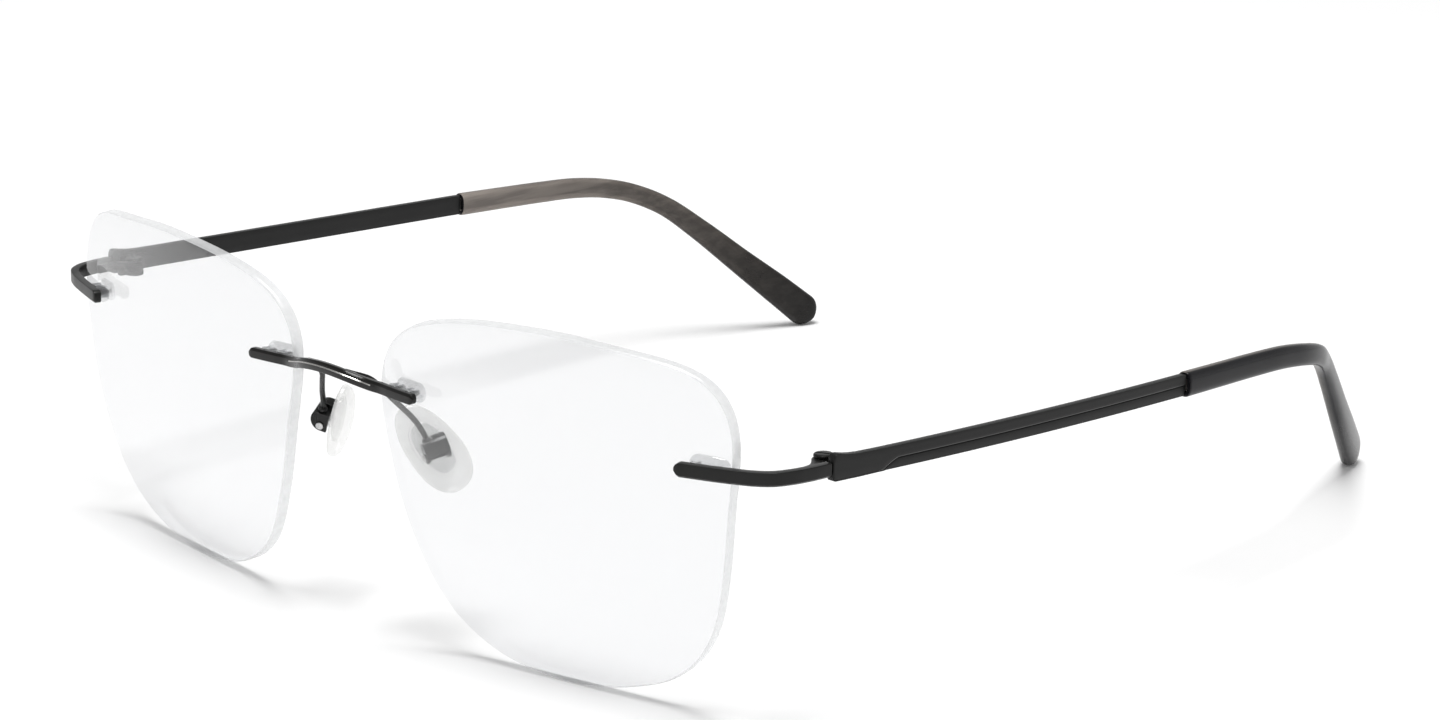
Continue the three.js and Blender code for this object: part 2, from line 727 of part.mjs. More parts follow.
// Pad box: a small D-shaped cup, open towards the pad and at its lower end.
function padCup() {
  const half = CUP.along / 2;
  const straight = CUP.deep * 0.35; // depth at which the rounded back starts
  // Shape x is up, shape y is away from the nose, and the depth is along the screw.
  const shape = new THREE.Shape();
  shape.moveTo(-half, 0);
  shape.lineTo(half, 0);
  shape.lineTo(half, straight);
  shape.absellipse(0, straight, half, CUP.deep * 0.65, 0, Math.PI, false, 0);
  shape.closePath();
  const outer = new THREE.ExtrudeGeometry(shape, {
    depth: CUP.wide,
    bevelEnabled: false,
    curveSegments: 10,
  })
    .translate(0, 0, -CUP.wide / 2)
    .applyMatrix4(
      basis(cupUp, padFace.clone().negate(), cupAcross, cupPoint(0, 0, CUP_MOUTH)),
    );
  const inner = CUP_SIDE - CUP.wall;
  return cut(
    outer,
    cupBlock([-inner, inner], [-half - 1, 0.1], [CUP_MOUTH - 1.85, CUP_MOUTH + 1]),
    cupBlock([0.02, CUP.wide], [SEAT_UP, half + 1], [CUP_BACK - 1, CUP_MOUTH + 1]),
    pivotRod(-3, 3, 0.42, 12),
  );
}

// Cross screw with a slotted head.
function padScrew() {
  const slot = cupBlock(
    [CUP_SIDE + 0.2, CUP_SIDE + 1],
    [PIVOT_UP - 1, PIVOT_UP + 1],
    [PIVOT_DEPTH - 0.09, PIVOT_DEPTH + 0.09],
  );
  return cut(
    join(
      pivotRod(-CUP_SIDE - 0.1, CUP_SIDE + 0.1, 0.32, 10),
      pivotRod(CUP_SIDE + 0.04, CUP_SIDE + 0.32, 0.54, 14),
    ),
    slot,
  );
}

// ---------------------------------------------------------------- pad arm
// Round wire from the back of the bridge, turning back and down to a collar on the box.
function padArm() {
  const armPoint = (aboveSeat) => cupPoint(0.8, SEAT_UP + aboveSeat, CUP_MOUTH - 1.2);
  const end = armPoint(0.3);
  const curve = smoothCurve([
    vec([3.0, -2.62, 35.2]),
    vec([4.2, -2.25, 35.05]),
    vec([5.0, -1.45, 34.75]),
    vec([5.4, -0.3, 34.2]),
    vec([5.7, 0.85, 33.2]),
    vec([6.28, 1.82, 32.0]),
    vec([7.05, 2.48, 31.0]),
    vec([8.97, 4.12, 28.5]),
    shifted(end, cupUp, 0.5),
    end,
  ]);
  const section = new THREE.Shape();
  section.absarc(0, 0, ARM_RADIUS, 0, 2 * Math.PI, false);
  const armWire = new THREE.ExtrudeGeometry(section, {
    steps: 20,
    extrudePath: curve,
    curveSegments: 5,
    bevelEnabled: false,
  });
  return join(armWire, rod(armPoint(0.06), armPoint(0.6), COLLAR_RADIUS, 14));
}

// ---------------------------------------------------------------- assembly
const body = new THREE.Group();
function add(name, geometry, material) {
  geometry.computeVertexNormals();
  const mesh = new THREE.Mesh(geometry, material);
  mesh.name = name;
  body.add(mesh);
}
function addPair(name, geometry, material) {
  add(`${name}_left`, geometry, material());
  add(`${name}_right`, mirrorX(geometry), material());
}
add("bridge", bridge(), glossBlack());
addPair("lens", lensWithHoles(), lensClear);
addPair("endpiece", endpiece(), satinBlack);
addPair("bushing_nasal", bushing(nasalPair), clearPlastic);
addPair("bushing_temporal", bushing(temporalPair), clearPlastic);
addPair("bridge_pin_inner", pin(nasalPair, 0), steel);
addPair("bridge_pin_outer", pin(nasalPair, 1), steel);
addPair("endpiece_pin_inner", pin(temporalPair, 0), steel);
addPair("endpiece_pin_outer", pin(temporalPair, 1), steel);
addPair("pad_arm", padArm(), satinBlack);
addPair("pad_box", padCup(), glossBlack);
addPair("pad_screw", padScrew(), steel);
addPair("nose_pad_insert", padInsert(), clearPlastic);
addPair("nose_pad", nosePad(), silicone);
addPair("hinge_front", hingeFront(), satinBlack);
addPair("hinge_rear", hingeRear(), satinBlack);
addPair("hinge_screw", hingeScrew(), steel);
addPair("temple", temple(), satinBlack);
addPair("temple_tip", templeTip(), acetate);

// The origin is under the middle of the open glasses, on the surface they rest on.
const bounds = new THREE.Box3().setFromObject(body);
body.position.set(0, -(bounds.min.y + bounds.max.y) / 2, -bounds.min.z);

// Reference points and directions of the left side, before the shift.
const [facetStart, facetEnd] = BLADE_FACET.map((distance) =>
  bladeAt(distance, BLADE.thick / 2, 0),
);
const group = new THREE.Group();
group.add(body);
group.userData = {
  shift: body.position.toArray(),
  hingeAxis: HINGE_AXIS,
  padScrew: cupPoint(0, PIVOT_UP, PIVOT_DEPTH).toArray(),
  padAxis: cupAcross.toArray(),
  bladeFace: facetStart.clone().lerp(facetEnd, 0.5).toArray(),
  bladeSide: facetEnd.clone().sub(facetStart).cross(bladeUp).normalize().toArray(),
};
export default group;
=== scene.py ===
"""Rimless eyeglasses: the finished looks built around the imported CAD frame.

+Z is up, -Y the front, +X the wearer's left. Shapes are worked out in millimetres in the CAD
source's coordinates and moved onto the frame with a shift found from the hinge screw's box.
Left pieces are built; right ones are their mirror images across X = 0.
"""

import math

import bmesh
import bpy
import numpy as np
from mathutils import Matrix, Vector


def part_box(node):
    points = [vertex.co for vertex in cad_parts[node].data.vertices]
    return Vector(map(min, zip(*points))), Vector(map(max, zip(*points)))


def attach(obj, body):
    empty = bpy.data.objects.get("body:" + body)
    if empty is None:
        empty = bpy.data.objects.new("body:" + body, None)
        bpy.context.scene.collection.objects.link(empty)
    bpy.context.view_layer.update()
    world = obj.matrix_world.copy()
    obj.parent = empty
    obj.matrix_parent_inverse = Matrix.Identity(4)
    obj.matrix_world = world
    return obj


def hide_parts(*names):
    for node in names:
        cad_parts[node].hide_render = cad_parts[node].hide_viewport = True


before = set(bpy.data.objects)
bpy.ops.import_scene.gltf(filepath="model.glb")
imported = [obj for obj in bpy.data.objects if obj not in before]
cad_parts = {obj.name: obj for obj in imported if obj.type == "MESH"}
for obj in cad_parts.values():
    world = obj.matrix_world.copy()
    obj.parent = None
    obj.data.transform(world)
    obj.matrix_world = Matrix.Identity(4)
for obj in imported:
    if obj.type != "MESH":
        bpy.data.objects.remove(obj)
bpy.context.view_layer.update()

MM = 0.001

# Hinge axis, and the heights where its lower, middle and upper knuckles start, where the upper
# one ends, and of the screw's top
HINGE_X, HINGE_Y = 66.5, 18.85
KNUCKLE_LOW, KNUCKLE_MID, KNUCKLE_HIGH, KNUCKLE_END, SCREW_TOP = 31.15, 31.8, 32.5, 33.1, 33.6

screw_low, screw_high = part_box("hinge_screw_left")
# From CAD source coordinates to frame coordinates, mm
SHIFT = np.array(
    [0.0, (screw_low.y + screw_high.y) / 2 / MM - HINGE_Y, screw_high.z / MM - SCREW_TOP]
)


# ------------------------------------------------------------------ vectors and curves
def vec(*values):
    return np.array(values, float)


UP = vec(0, 0, 1)


def unit(vector):
    return vector / np.linalg.norm(vector)


def smooth(x):
    x = np.clip(x, 0, 1)
    return x * x * (3 - 2 * x)


def table_at(x, table):
    """Reads a table of (x, value) stations by linear interpolation."""
    return float(np.interp(x, [row[0] for row in table], [row[1] for row in table]))


class Curve:
    """Centripetal Catmull-Rom through the points, read by distance along it in mm."""

    def __init__(self, points, steps=2400):
        knots = [np.asarray(p, float) for p in points]
        last = len(knots) - 1
        knots = [2 * knots[0] - knots[1], *knots, 2 * knots[-1] - knots[-2]]
        samples = []
        for share in np.linspace(0, 1, steps + 1):
            index = min(int(last * share), last - 1)
            w = last * share - index
            p0, p1, p2, p3 = knots[index : index + 4]
            gap0, gap1, gap2 = (
                np.sum((a - b) ** 2) ** 0.25 for a, b in ((p0, p1), (p1, p2), (p2, p3))
            )
            slope1 = ((p1 - p0) / gap0 - (p2 - p0) / (gap0 + gap1) + (p2 - p1) / gap1) * gap1
            slope2 = ((p2 - p1) / gap1 - (p3 - p1) / (gap1 + gap2) + (p3 - p2) / gap2) * gap1
            samples.append(
                p1
                + slope1 * w
                + (-3 * p1 + 3 * p2 - 2 * slope1 - slope2) * w * w
                + (2 * p1 - 2 * p2 + slope1 + slope2) * w**3
            )
        self.points = np.array(samples)
        steps_long = np.linalg.norm(np.diff(self.points, axis=0), axis=1)
        self.distances = np.r_[0, np.cumsum(steps_long)]
        self.length = self.distances[-1]

    def at(self, distance):
        return np.array(
            [np.interp(distance, self.distances, self.points[:, k]) for k in range(3)]
        )

    def tangent(self, distance):
        reach = 0.12
        start, end = max(0, distance - reach), min(self.length, distance + reach)
        return unit(self.at(end) - self.at(start))

    def frame(self, distance, side=None):
        """Centre, side and second axis; by default the side is level and the second axis down."""
        tangent = self.tangent(distance)
        side = np.cross(tangent, UP) if side is None else side
        side = unit(side - (side @ tangent) * tangent)
        return self.at(distance), side, np.cross(tangent, side)

    def ring(self, distance, section, side=None):
        """(n, 2) section points [along the side, along the second axis] set on the curve."""
        centre, side, second = self.frame(distance, side)
        return centre + section[:, :1] * side + section[:, 1:] * second

    def nearest(self, point, stride):
        """Distance along the curve of the closest of every stride-th sample."""
        gaps = np.sum((self.points[::stride] - point) ** 2, axis=1)
        return float(self.distances[::stride][int(np.argmin(gaps))])


# ------------------------------------------------------------------ temporary solids, in mm
def solid(verts, faces):
    edit = bmesh.new()
    corners = [edit.verts.new(v) for v in verts]
    for face in faces:
        edit.faces.new([corners[i] for i in face])
    bmesh.ops.remove_doubles(edit, verts=edit.verts, dist=1e-5)
    bmesh.ops.recalc_face_normals(edit, faces=edit.faces)
    mesh = bpy.data.meshes.new("tmp")
    edit.to_mesh(mesh)
    edit.free()
    piece = bpy.data.objects.new("tmp", mesh)
    bpy.context.scene.collection.objects.link(piece)
    return piece


def skin(rings):
    """Solid over closed rings of equal size, with a flat cap at both ends."""
    n = len(rings[0])
    faces = []
    for i in range(len(rings) - 1):
        for j in range(n):
            k = (j + 1) % n
            faces.append((i * n + j, i * n + k, (i + 1) * n + k, (i + 1) * n + j))
    base = (len(rings) - 1) * n
    faces.append(tuple(range(n - 1, -1, -1)))
    faces.append(tuple(base + j for j in range(n)))
    return solid(np.concatenate(rings), faces)


def discard(piece):
    mesh = piece.data
    bpy.data.objects.remove(piece)
    bpy.data.meshes.remove(mesh)


def apply_modifiers(piece):
    """Applies the modifiers and drops slivers."""
    bpy.context.view_layer.update()
    depsgraph = bpy.context.evaluated_depsgraph_get()
    mesh = bpy.data.meshes.new_from_object(piece.evaluated_get(depsgraph))
    old = piece.data
    piece.modifiers.clear()
    piece.data = mesh
    bpy.data.meshes.remove(old)
    edit = bmesh.new()
    edit.from_mesh(mesh)
    bmesh.ops.remove_doubles(edit, verts=edit.verts, dist=2e-4)
    bmesh.ops.dissolve_degenerate(edit, edges=edit.edges, dist=2e-4)
    edit.to_mesh(mesh)
    edit.free()
    return piece


def boolean(piece, tools, operation):
    for tool in tools:
        modifier = piece.modifiers.new("b", "BOOLEAN")
        modifier.operation = operation
        modifier.solver = "EXACT"
        modifier.object = tool
        apply_modifiers(piece)
    for tool in tools:
        discard(tool)
    return piece


def cut(piece, *tools):
    return boolean(piece, tools, "DIFFERENCE")


def join(piece, *parts):
    return boolean(piece, parts, "UNION")


def bevel(piece, width, segments=2, angle=35):
    modifier = piece.modifiers.new("bevel", "BEVEL")
    modifier.width = width
    modifier.segments = segments
    modifier.limit_method = "ANGLE"
    modifier.angle_limit = math.radians(angle)
    modifier.use_clamp_overlap = True
    return apply_modifiers(piece)


def lathe(profile, start, axis, segments=40, ref=UP):
    """Profile of (radius, distance along the axis) turned about the axis through start.

    The first point of each ring lies towards ref.
    """
    axis = unit(axis)
    if abs(axis @ unit(ref)) > 0.95:
        ref = vec(1, 0, 0)
    x = unit(ref - (ref @ axis) * axis)
    y = np.cross(axis, x)
    turn = np.arange(segments) * 2 * math.pi / segments
    circle = np.cos(turn)[:, None] * x + np.sin(turn)[:, None] * y
    return skin([start + distance * axis + radius * circle for radius, distance in profile])


def rod(start, end, radius, segments=32, edge=0.06, ref=UP):
    """Round rod with softened ends."""
    length = np.linalg.norm(end - start)
    edge = min(edge, radius * 0.6, length * 0.3)
    quarter = [k / 3 * math.pi / 2 for k in range(4)]
    core = radius - edge
    profile = [(core + edge * math.sin(t), edge - edge * math.cos(t)) for t in quarter]
    profile += [(core + edge * math.cos(t), length - edge + edge * math.sin(t)) for t in quarter]
    return lathe(profile, start, end - start, segments, ref)


def block(xs, ys, zs, place=vec):
    """Box between (low, high) pairs; place turns its local x, y, z into a point."""
    corners = [place(x, y, z) for x in xs for y in ys for z in zs]
    faces = [(0, 1, 3, 2), (4, 6, 7, 5), (0, 4, 5, 1), (2, 3, 7, 6), (0, 2, 6, 4), (1, 5, 7, 3)]
    return solid(corners, faces)


def soften(polygon, radii, steps=4):
    """Rounds a closed polygon's corners, each by its own radius."""
    points = [np.asarray(p, float) for p in polygon]
    out = []
    for i, (point, radius) in enumerate(zip(points, radii)):
        to_last, to_next = points[i - 1] - point, points[(i + 1) % len(points)] - point
        last_length, next_length = np.linalg.norm(to_last), np.linalg.norm(to_next)
        to_last, to_next = to_last / last_length, to_next / next_length
        half = math.acos(float(np.clip(to_last @ to_next, -0.9999, 0.9999))) / 2
        trim = min(radius / math.tan(half), last_length * 0.49, next_length * 0.49)
        centre = point + unit(to_last + to_next) * (trim * math.tan(half) / math.sin(half))
        start, end = point + to_last * trim - centre, point + to_next * trim - centre
        total = math.acos(float(np.clip(unit(start) @ unit(end), -1, 1)))
        for k in range(steps + 1):
            t = k / steps
            weight0 = math.sin((1 - t) * total) / math.sin(total)
            weight1 = math.sin(t * total) / math.sin(total)
            out.append(centre + weight0 * start + weight1 * end)
    return np.array(out)


def superellipse(a, b, power, count=40):
    turn = np.arange(count) * 2 * math.pi / count
    c, s = np.cos(turn), np.sin(turn)
    x = a * np.sign(c) * np.abs(c) ** (2 / power)
    y = b * np.sign(s) * np.abs(s) ** (2 / power)
    return np.c_[x, y]


def sweep(curve, stations, section, side=None):
    return skin([curve.ring(d, section(d), side) for d in stations])


def end_scale(distance, radius, floor):
    """Share of the full section at a distance from a rounded end."""
    x = min(1.0, max(0.0, distance / radius))
    return math.sqrt(max(floor * floor, 1 - (1 - x) ** 2))


def end_steps(radius, count):
    """Stations from a rounded end inwards, closest together at the end."""
    return [radius * (1 - math.cos(k / count * math.pi / 2)) for k in range(count + 1)]


def end_stations(end, radius, count):
    return [end - step for step in reversed(end_steps(radius, count))]


# ------------------------------------------------------------------ finished pieces
def emit(
    name, piece, body, materials, sharp, slot_of=None, sides=("left", "right"),
    replaces=True,
):
    """Places a temporary solid on the frame as one finished object a side, riding its body.

    A * in the names stands for the side; slot_of gives a face's material index from its centre
    and normal in mm.
    """
    base = piece.data
    indices = [
        slot_of(np.array(face.center), np.array(face.normal)) if slot_of else 0
        for face in base.polygons
    ]
    for side in sides:
        mesh = base.copy()
        edit = bmesh.new()
        edit.from_mesh(mesh)
        mirror = -1 if side == "right" else 1
        for vert in edit.verts:
            x, y, z = vert.co
            vert.co = Vector((vec(mirror * x, y, z) + SHIFT) * MM)
        if side == "right":
            bmesh.ops.reverse_faces(edit, faces=edit.faces)
        edit.to_mesh(mesh)
        edit.free()
        label = name.replace("*", side)
        mesh.name = label
        final = bpy.data.objects.new(label, mesh)
        bpy.context.scene.collection.objects.link(final)
        mesh.materials.clear()
        for material in materials:
            mesh.materials.append(material)
        mesh.polygons.foreach_set("material_index", np.array(indices, np.int32))
        mesh.shade_smooth()
        mesh.set_sharp_from_angle(angle=math.radians(sharp))
        mesh.update()
        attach(final, body.replace("*", side))
        if replaces:
            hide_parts(label)
    discard(piece)


# ------------------------------------------------------------------ shader building
class Graph:
    """The node tree of a material or world; inputs take plain values or other nodes' outputs."""

    def __init__(self, owner, output="OutputMaterial"):
        self.owner = owner
        owner.use_nodes = True
        self.tree = owner.node_tree
        self.tree.nodes.clear()
        self.output = self.node(output)

    def feed(self, socket, value):
        if isinstance(value, bpy.types.NodeSocket):
            self.tree.links.new(value, socket)
        else:
            socket.default_value = value

    def node(self, kind, **inputs):
        """New node; underscores in the input names stand for spaces."""
        node = self.tree.nodes.new("ShaderNode" + kind)
        for name, value in inputs.items():
            self.feed(node.inputs[name.replace("_", " ")], value)
        return node

    def finish(self, surface):
        self.feed(self.output.inputs["Surface"], surface)
        return self.owner

    def math(self, operation, *values):
        node = self.node("Math")
        node.operation = operation
        for socket, value in zip(node.inputs, values):
            self.feed(socket, value)
        return node.outputs["Value"]

    def mix_color(self, factor, a, b, blend="MIX"):
        node = self.node("Mix")
        node.data_type = "RGBA"
        node.blend_type = blend
        for name, value in (("Factor", factor), ("A", a), ("B", b)):
            self.feed(node.inputs[name], value)
        return node.outputs["Result"]

    def mix_shader(self, factor, first, second):
        node = self.node("MixShader", Fac=factor)
        self.feed(node.inputs[1], first)
        self.feed(node.inputs[2], second)
        return node.outputs["Shader"]

    def coords(self, scale=(1, 1, 1)):
        vector = self.node("TexCoord").outputs["Object"]
        return self.node("Mapping", Scale=scale, Vector=vector).outputs["Vector"]

    def noise(self, vector, scale, detail=3.0, roughness=0.55):
        return self.node(
            "TexNoise", Scale=scale, Detail=detail, Roughness=roughness, Vector=vector
        ).outputs["Fac"]

    def spread(self, value, low, high, start=0.3, end=0.7):
        """Maps start..end of the value to low..high."""
        return self.node(
            "MapRange", From_Min=start, From_Max=end, To_Min=low, To_Max=high, Value=value
        ).outputs["Result"]

    def ramp(self, value, *stops):
        """Colour ramp through (position, RGB) stops."""
        node = self.node("ValToRGB", Fac=value)
        elements = node.color_ramp.elements
        for index, (position, color) in enumerate((stops[0], stops[-1])):
            elements[index].position = position
            elements[index].color = (*color, 1)
        for position, color in stops[1:-1]:
            elements.new(position).color = (*color, 1)
        return node.outputs["Color"]

    def tint(self, value, dark, light, start=0.3, end=0.7):
        return self.ramp(value, (start, dark), (end, light))

    def bump(self, height, strength, distance):
        return self.node(
            "Bump", Strength=strength, Distance=distance, Height=height
        ).outputs["Normal"]


def new_material(name):
    return Graph(bpy.data.materials.new(name))


def lacquer(
    name, dark, light, roughness, specular, roughness_spread=0.05, coat=0.0, grain=9000,
    stretch=(1, 1, 1), metallic=0.0,
):
    """Lacquer: a slow tone drift, a fine spray grain and small changes of gloss."""
    graph = new_material(name)
    vector = graph.coords(stretch)
    slow = graph.noise(vector, scale=240, detail=2)
    fine = graph.noise(vector, scale=grain, detail=4, roughness=0.6)
    surface = graph.node(
        "BsdfPrincipled",
        Metallic=metallic,
        Specular_IOR_Level=specular,
        Base_Color=graph.tint(slow, dark, light),
        Roughness=graph.spread(fine, roughness - roughness_spread, roughness + roughness_spread),
        Coat_Weight=coat,
        Coat_Roughness=0.08,
        Normal=graph.bump(fine, strength=0.35, distance=4e-6),
    )
    return graph.finish(surface.outputs["BSDF"])


def bright_steel(name, tone, roughness, stretch=(1, 1, 1)):
    """Turned steel: fine drawn lines and a slightly warm, uneven reflection."""
    graph = new_material(name)
    vector = graph.coords(stretch)
    lines = graph.noise(vector, scale=14000, detail=3, roughness=0.7)
    slow = graph.noise(vector, scale=900, detail=2)
    surface = graph.node(
        "BsdfPrincipled",
        Metallic=1.0,
        Base_Color=graph.tint(slow, (tone * 0.86,) * 3, (tone, tone * 0.99, tone * 0.97)),
        Roughness=graph.spread(lines, roughness - 0.08, roughness + 0.1),
        Normal=graph.bump(lines, strength=0.3, distance=3e-6),
    )
    return graph.finish(surface.outputs["BSDF"])


def clear(
    name, tone, veil, veil_edge, gloss_roughness, gloss_tone=1.0, power=None, shade=None,
    body=0.0, body_tone=None, body_roughness=0.35, grain=None, one_way=False,
):
    """See-through plastic: tinted transparency under a reflection.

    veil and veil_edge are the reflection's share face on and at grazing angles, power curves
    the way between them; shade is the darker tint its shadow gets. body adds a share of milky
    surface and a grained gloss; one_way leaves only the tint where a face is seen from inside.
    """
    graph = new_material(name)

    def outside_only(value):
        if not one_way:
            return value
        return graph.math("MULTIPLY", value, graph.math("SUBTRACT", 1.0, backfacing))

    color = (*tone, 1)
    if shade:
        in_shadow = graph.node("LightPath").outputs["Is Shadow Ray"]
        color = graph.mix_color(in_shadow, color, (*shade, 1))
    below = graph.node("BsdfTransparent", Color=color).outputs["BSDF"]
    gloss = graph.node(
        "BsdfGlossy", Color=(gloss_tone, gloss_tone, gloss_tone, 1), Roughness=gloss_roughness
    )
    facing = graph.node("LayerWeight", Blend=0.5 if power else 0.35).outputs["Facing"]
    if power:
        facing = graph.math("POWER", facing, power)
    if one_way:
        backfacing = graph.node("NewGeometry").outputs["Backfacing"]
    amount = outside_only(graph.spread(facing, veil, veil_edge, start=0.0, end=1.0))
    if body:
        vector = graph.coords()
        grit = graph.noise(vector, scale=grain, detail=3, roughness=0.6)
        graph.feed(gloss.inputs["Normal"], graph.bump(grit, strength=0.3, distance=4e-6))
        dust = graph.noise(vector, scale=700, detail=3)
        milk = graph.node(
            "BsdfPrincipled",
            Roughness=body_roughness,
            Base_Color=graph.tint(dust, tuple(0.93 * c for c in body_tone), body_tone),
        )
        share = outside_only(graph.spread(dust, body * 0.94, min(1, body * 1.06)))
        below = graph.mix_shader(share, below, milk.outputs["BSDF"])
    return graph.finish(graph.mix_shader(amount, below, gloss.outputs["BSDF"]))


# Range along Y over which the tip's tones change, m in frame coordinates
TIP_Y0, TIP_Y1 = (85.5 + SHIFT[1]) * MM, (152.0 + SHIFT[1]) * MM


def laminate(name):
    """Two-ply acetate: a near-black outer ply over a smoky, slightly warm see-through inner one.

    Faint streaks run along it, and a painted highlight makes the outer ply paler towards the tip's
    end.
    """
    graph = new_material(name)
    streak = graph.noise(graph.coords((1, 0.06, 0.9)), scale=900, detail=4, roughness=0.6)
    fine = graph.noise(graph.coords(), scale=4000, detail=3, roughness=0.6)
    texture = graph.node("TexCoord")
    normal = graph.node("SeparateXYZ", Vector=texture.outputs["Normal"])
    place = graph.node("SeparateXYZ", Vector=texture.outputs["Object"])
    along_y = place.outputs["Y"]

    def tip_spread(low, high, start, end):
        """Low to high between two shares of the tip's range."""
        length = TIP_Y1 - TIP_Y0
        return graph.spread(along_y, low, high, TIP_Y0 + start * length, TIP_Y0 + end * length)

    # the outer ply is on the +X side of the left temple and the -X side of the right one
    outward = graph.math(
        "MULTIPLY", normal.outputs["X"], graph.math("SIGN", place.outputs["X"])
    )
    # the end face round the blade is cut through the dark ply
    facing = graph.spread(normal.outputs["Y"], 1.0, 0.0, start=-0.95, end=-0.6)
    outside = graph.spread(outward, 0.0, 1.0, start=-0.35, end=0.35)
    dark = graph.math("MAXIMUM", outside, facing)
    inner_share = tip_spread(0.55, 0.95, start=0.5, end=0.92)
    body_share = graph.spread(dark, inner_share, 0.97, start=0.0, end=1.0)

    # the inner ply fades from smoky brown near the blade to almost black at the tip's end
    brown = [(0.0, 0.42), (0.45, 0.28), (0.62, 0.14), (0.82, 0.04)]
    stops = [(position, (k, k * 0.89, k * 0.8)) for position, k in brown]
    stops.append((1.0, (0.010, 0.010 * 0.95, 0.010 * 0.92)))
    inner = graph.mix_color(
        1.0,
        graph.ramp(tip_spread(0.0, 1.0, start=0.0, end=1.0), *stops),
        graph.tint(streak, (0.68, 0.68, 0.69), (1, 1, 1), start=0.4, end=0.62),
        blend="MULTIPLY",
    )
    # painted highlight: the outer ply is painted paler towards the end of the tip
    outer = graph.mix_color(
        tip_spread(0.0, 1.0, start=0.78, end=1.0),
        graph.tint(streak, (0.006, 0.006, 0.0072), (0.010, 0.010, 0.012)),
        graph.tint(streak, (0.11, 0.109, 0.109), (0.14, 0.139, 0.139)),
    )
    see_through = graph.node(
        "BsdfTransparent", Color=graph.tint(streak, (0.36, 0.335, 0.315), (0.46, 0.43, 0.405))
    )
    surface = graph.node(
        "BsdfPrincipled",
        Base_Color=graph.mix_color(dark, inner, outer),
        Roughness=graph.spread(fine, 0.17, 0.27),
        Specular_IOR_Level=0.2,
        Normal=graph.bump(fine, strength=0.2, distance=3e-6),
    )
    return graph.finish(
        graph.mix_shader(body_share, see_through.outputs["BSDF"], surface.outputs["BSDF"])
    )


# ------------------------------------------------------------------ materials
LENS_POLISH = clear(
    "lens_polish", tone=(0.921, 0.923, 0.927), veil=0.022, veil_edge=0.46,
    gloss_roughness=0.0, shade=(0.88, 0.88, 0.885), gloss_tone=0.97, power=2.0,
)
LENS_EDGE = clear(
    "lens_ground_edge", tone=(0.90, 0.902, 0.907), veil=0.03, veil_edge=0.3,
    gloss_roughness=0.25, body=0.6, body_tone=(0.80, 0.81, 0.815), grain=16000,
    body_roughness=0.5, one_way=True, shade=(0.6, 0.6, 0.6),
)
TEMPLE_SATIN = lacquer(
    "temple_satin_black", dark=(0.0055, 0.0055, 0.0055), light=(0.008, 0.008, 0.0078),
    roughness=0.42, stretch=(1, 0.35, 1), specular=0.23,
)
# painted highlight: lighter, glossier copies of the satin black on the line's upper lip, brightest
# where the line starts in an S
LINE_LIP_HIGHLIGHT = lacquer(
    "temple_line_lip", dark=(0.016, 0.016, 0.016), light=(0.024, 0.024, 0.0235),
    roughness=0.34, specular=0.4,
)
LINE_START_HIGHLIGHT = lacquer(
    "temple_line_start_lip", dark=(0.045, 0.045, 0.045), light=(0.06, 0.06, 0.059),
    roughness=0.3, specular=0.5,
)
# painted shade: a darker, duller copy of the satin black on the floor of the engraved line
TEMPLE_GROOVE_SHADE = lacquer(
    "temple_groove_black", dark=(0.005, 0.005, 0.005), light=(0.007, 0.007, 0.007),
    roughness=0.55, specular=0.14,
)
ENDPIECE_BLACK = lacquer(
    "endpiece_black", dark=(0.006, 0.006, 0.0058), light=(0.010, 0.010, 0.0095),
    roughness=0.34, specular=0.25,
)
BRIDGE_GLOSS = lacquer(
    "bridge_gloss_black", dark=(0.005, 0.0048, 0.0044), light=(0.008, 0.0077, 0.007),
    roughness=0.16, roughness_spread=0.04, coat=0.14, grain=5000, specular=0.26,
)
# painted highlight: a bright metal strip on the ridge stands in for the reflection along the black
# bridge
BRIDGE_LEDGE_HIGHLIGHT = lacquer(
    "bridge_ledge_painted_highlight", dark=(0.55, 0.54, 0.52), light=(0.68, 0.67, 0.65),
    roughness=0.27, roughness_spread=0.04, coat=0.3, grain=5000, specular=0.5, metallic=1.0,
)
PAD_BOX_BLACK = lacquer(
    "pad_box_black", dark=(0.004, 0.004, 0.004), light=(0.007, 0.007, 0.0065),
    roughness=0.2, coat=0.15, specular=0.25,
)
PAD_ARM_BLACK = lacquer(
    "pad_arm_black", dark=(0.006, 0.006, 0.006), light=(0.010, 0.010, 0.0095),
    roughness=0.26, coat=0.1, specular=0.3,
)
HINGE_BLACK = lacquer(
    "hinge_black", dark=(0.005, 0.005, 0.0048), light=(0.009, 0.009, 0.0085),
    roughness=0.36, roughness_spread=0.06, specular=0.2,
)
HINGE_SCREW_BLACK = lacquer(
    "hinge_screw_black", dark=(0.005, 0.005, 0.0048), light=(0.009, 0.009, 0.0085),
    roughness=0.3, specular=0.16,
)
SCREW_STEEL = bright_steel("screw_steel", tone=0.62, roughness=0.26)
PIN_STEEL = bright_steel("pin_steel", tone=0.62, roughness=0.28)
CORE_WIRE = bright_steel("core_wire", tone=0.16, roughness=0.36, stretch=(1, 0.2, 1))
BUSHING_CLEAR = clear(
    "bushing_clear", tone=(0.97, 0.972, 0.975), veil=0.05, veil_edge=0.4,
    gloss_roughness=0.08, body=0.1, body_tone=(0.82, 0.83, 0.84), grain=9000,
)
PAD_INSERT_CLEAR = clear(
    "pad_insert_clear", tone=(0.94, 0.945, 0.945), veil=0.06, veil_edge=0.5,
    gloss_roughness=0.06, body=0.18, body_tone=(0.8, 0.8, 0.79), grain=9000,
)
PAD_SILICONE = clear(
    "pad_silicone", tone=(0.965, 0.965, 0.96), veil=0.04, veil_edge=0.4, gloss_roughness=0.22,
    body=0.26, body_tone=(0.9, 0.9, 0.895), grain=7000, body_roughness=0.5,
)
TIP_ACETATE = laminate("tip_acetate")
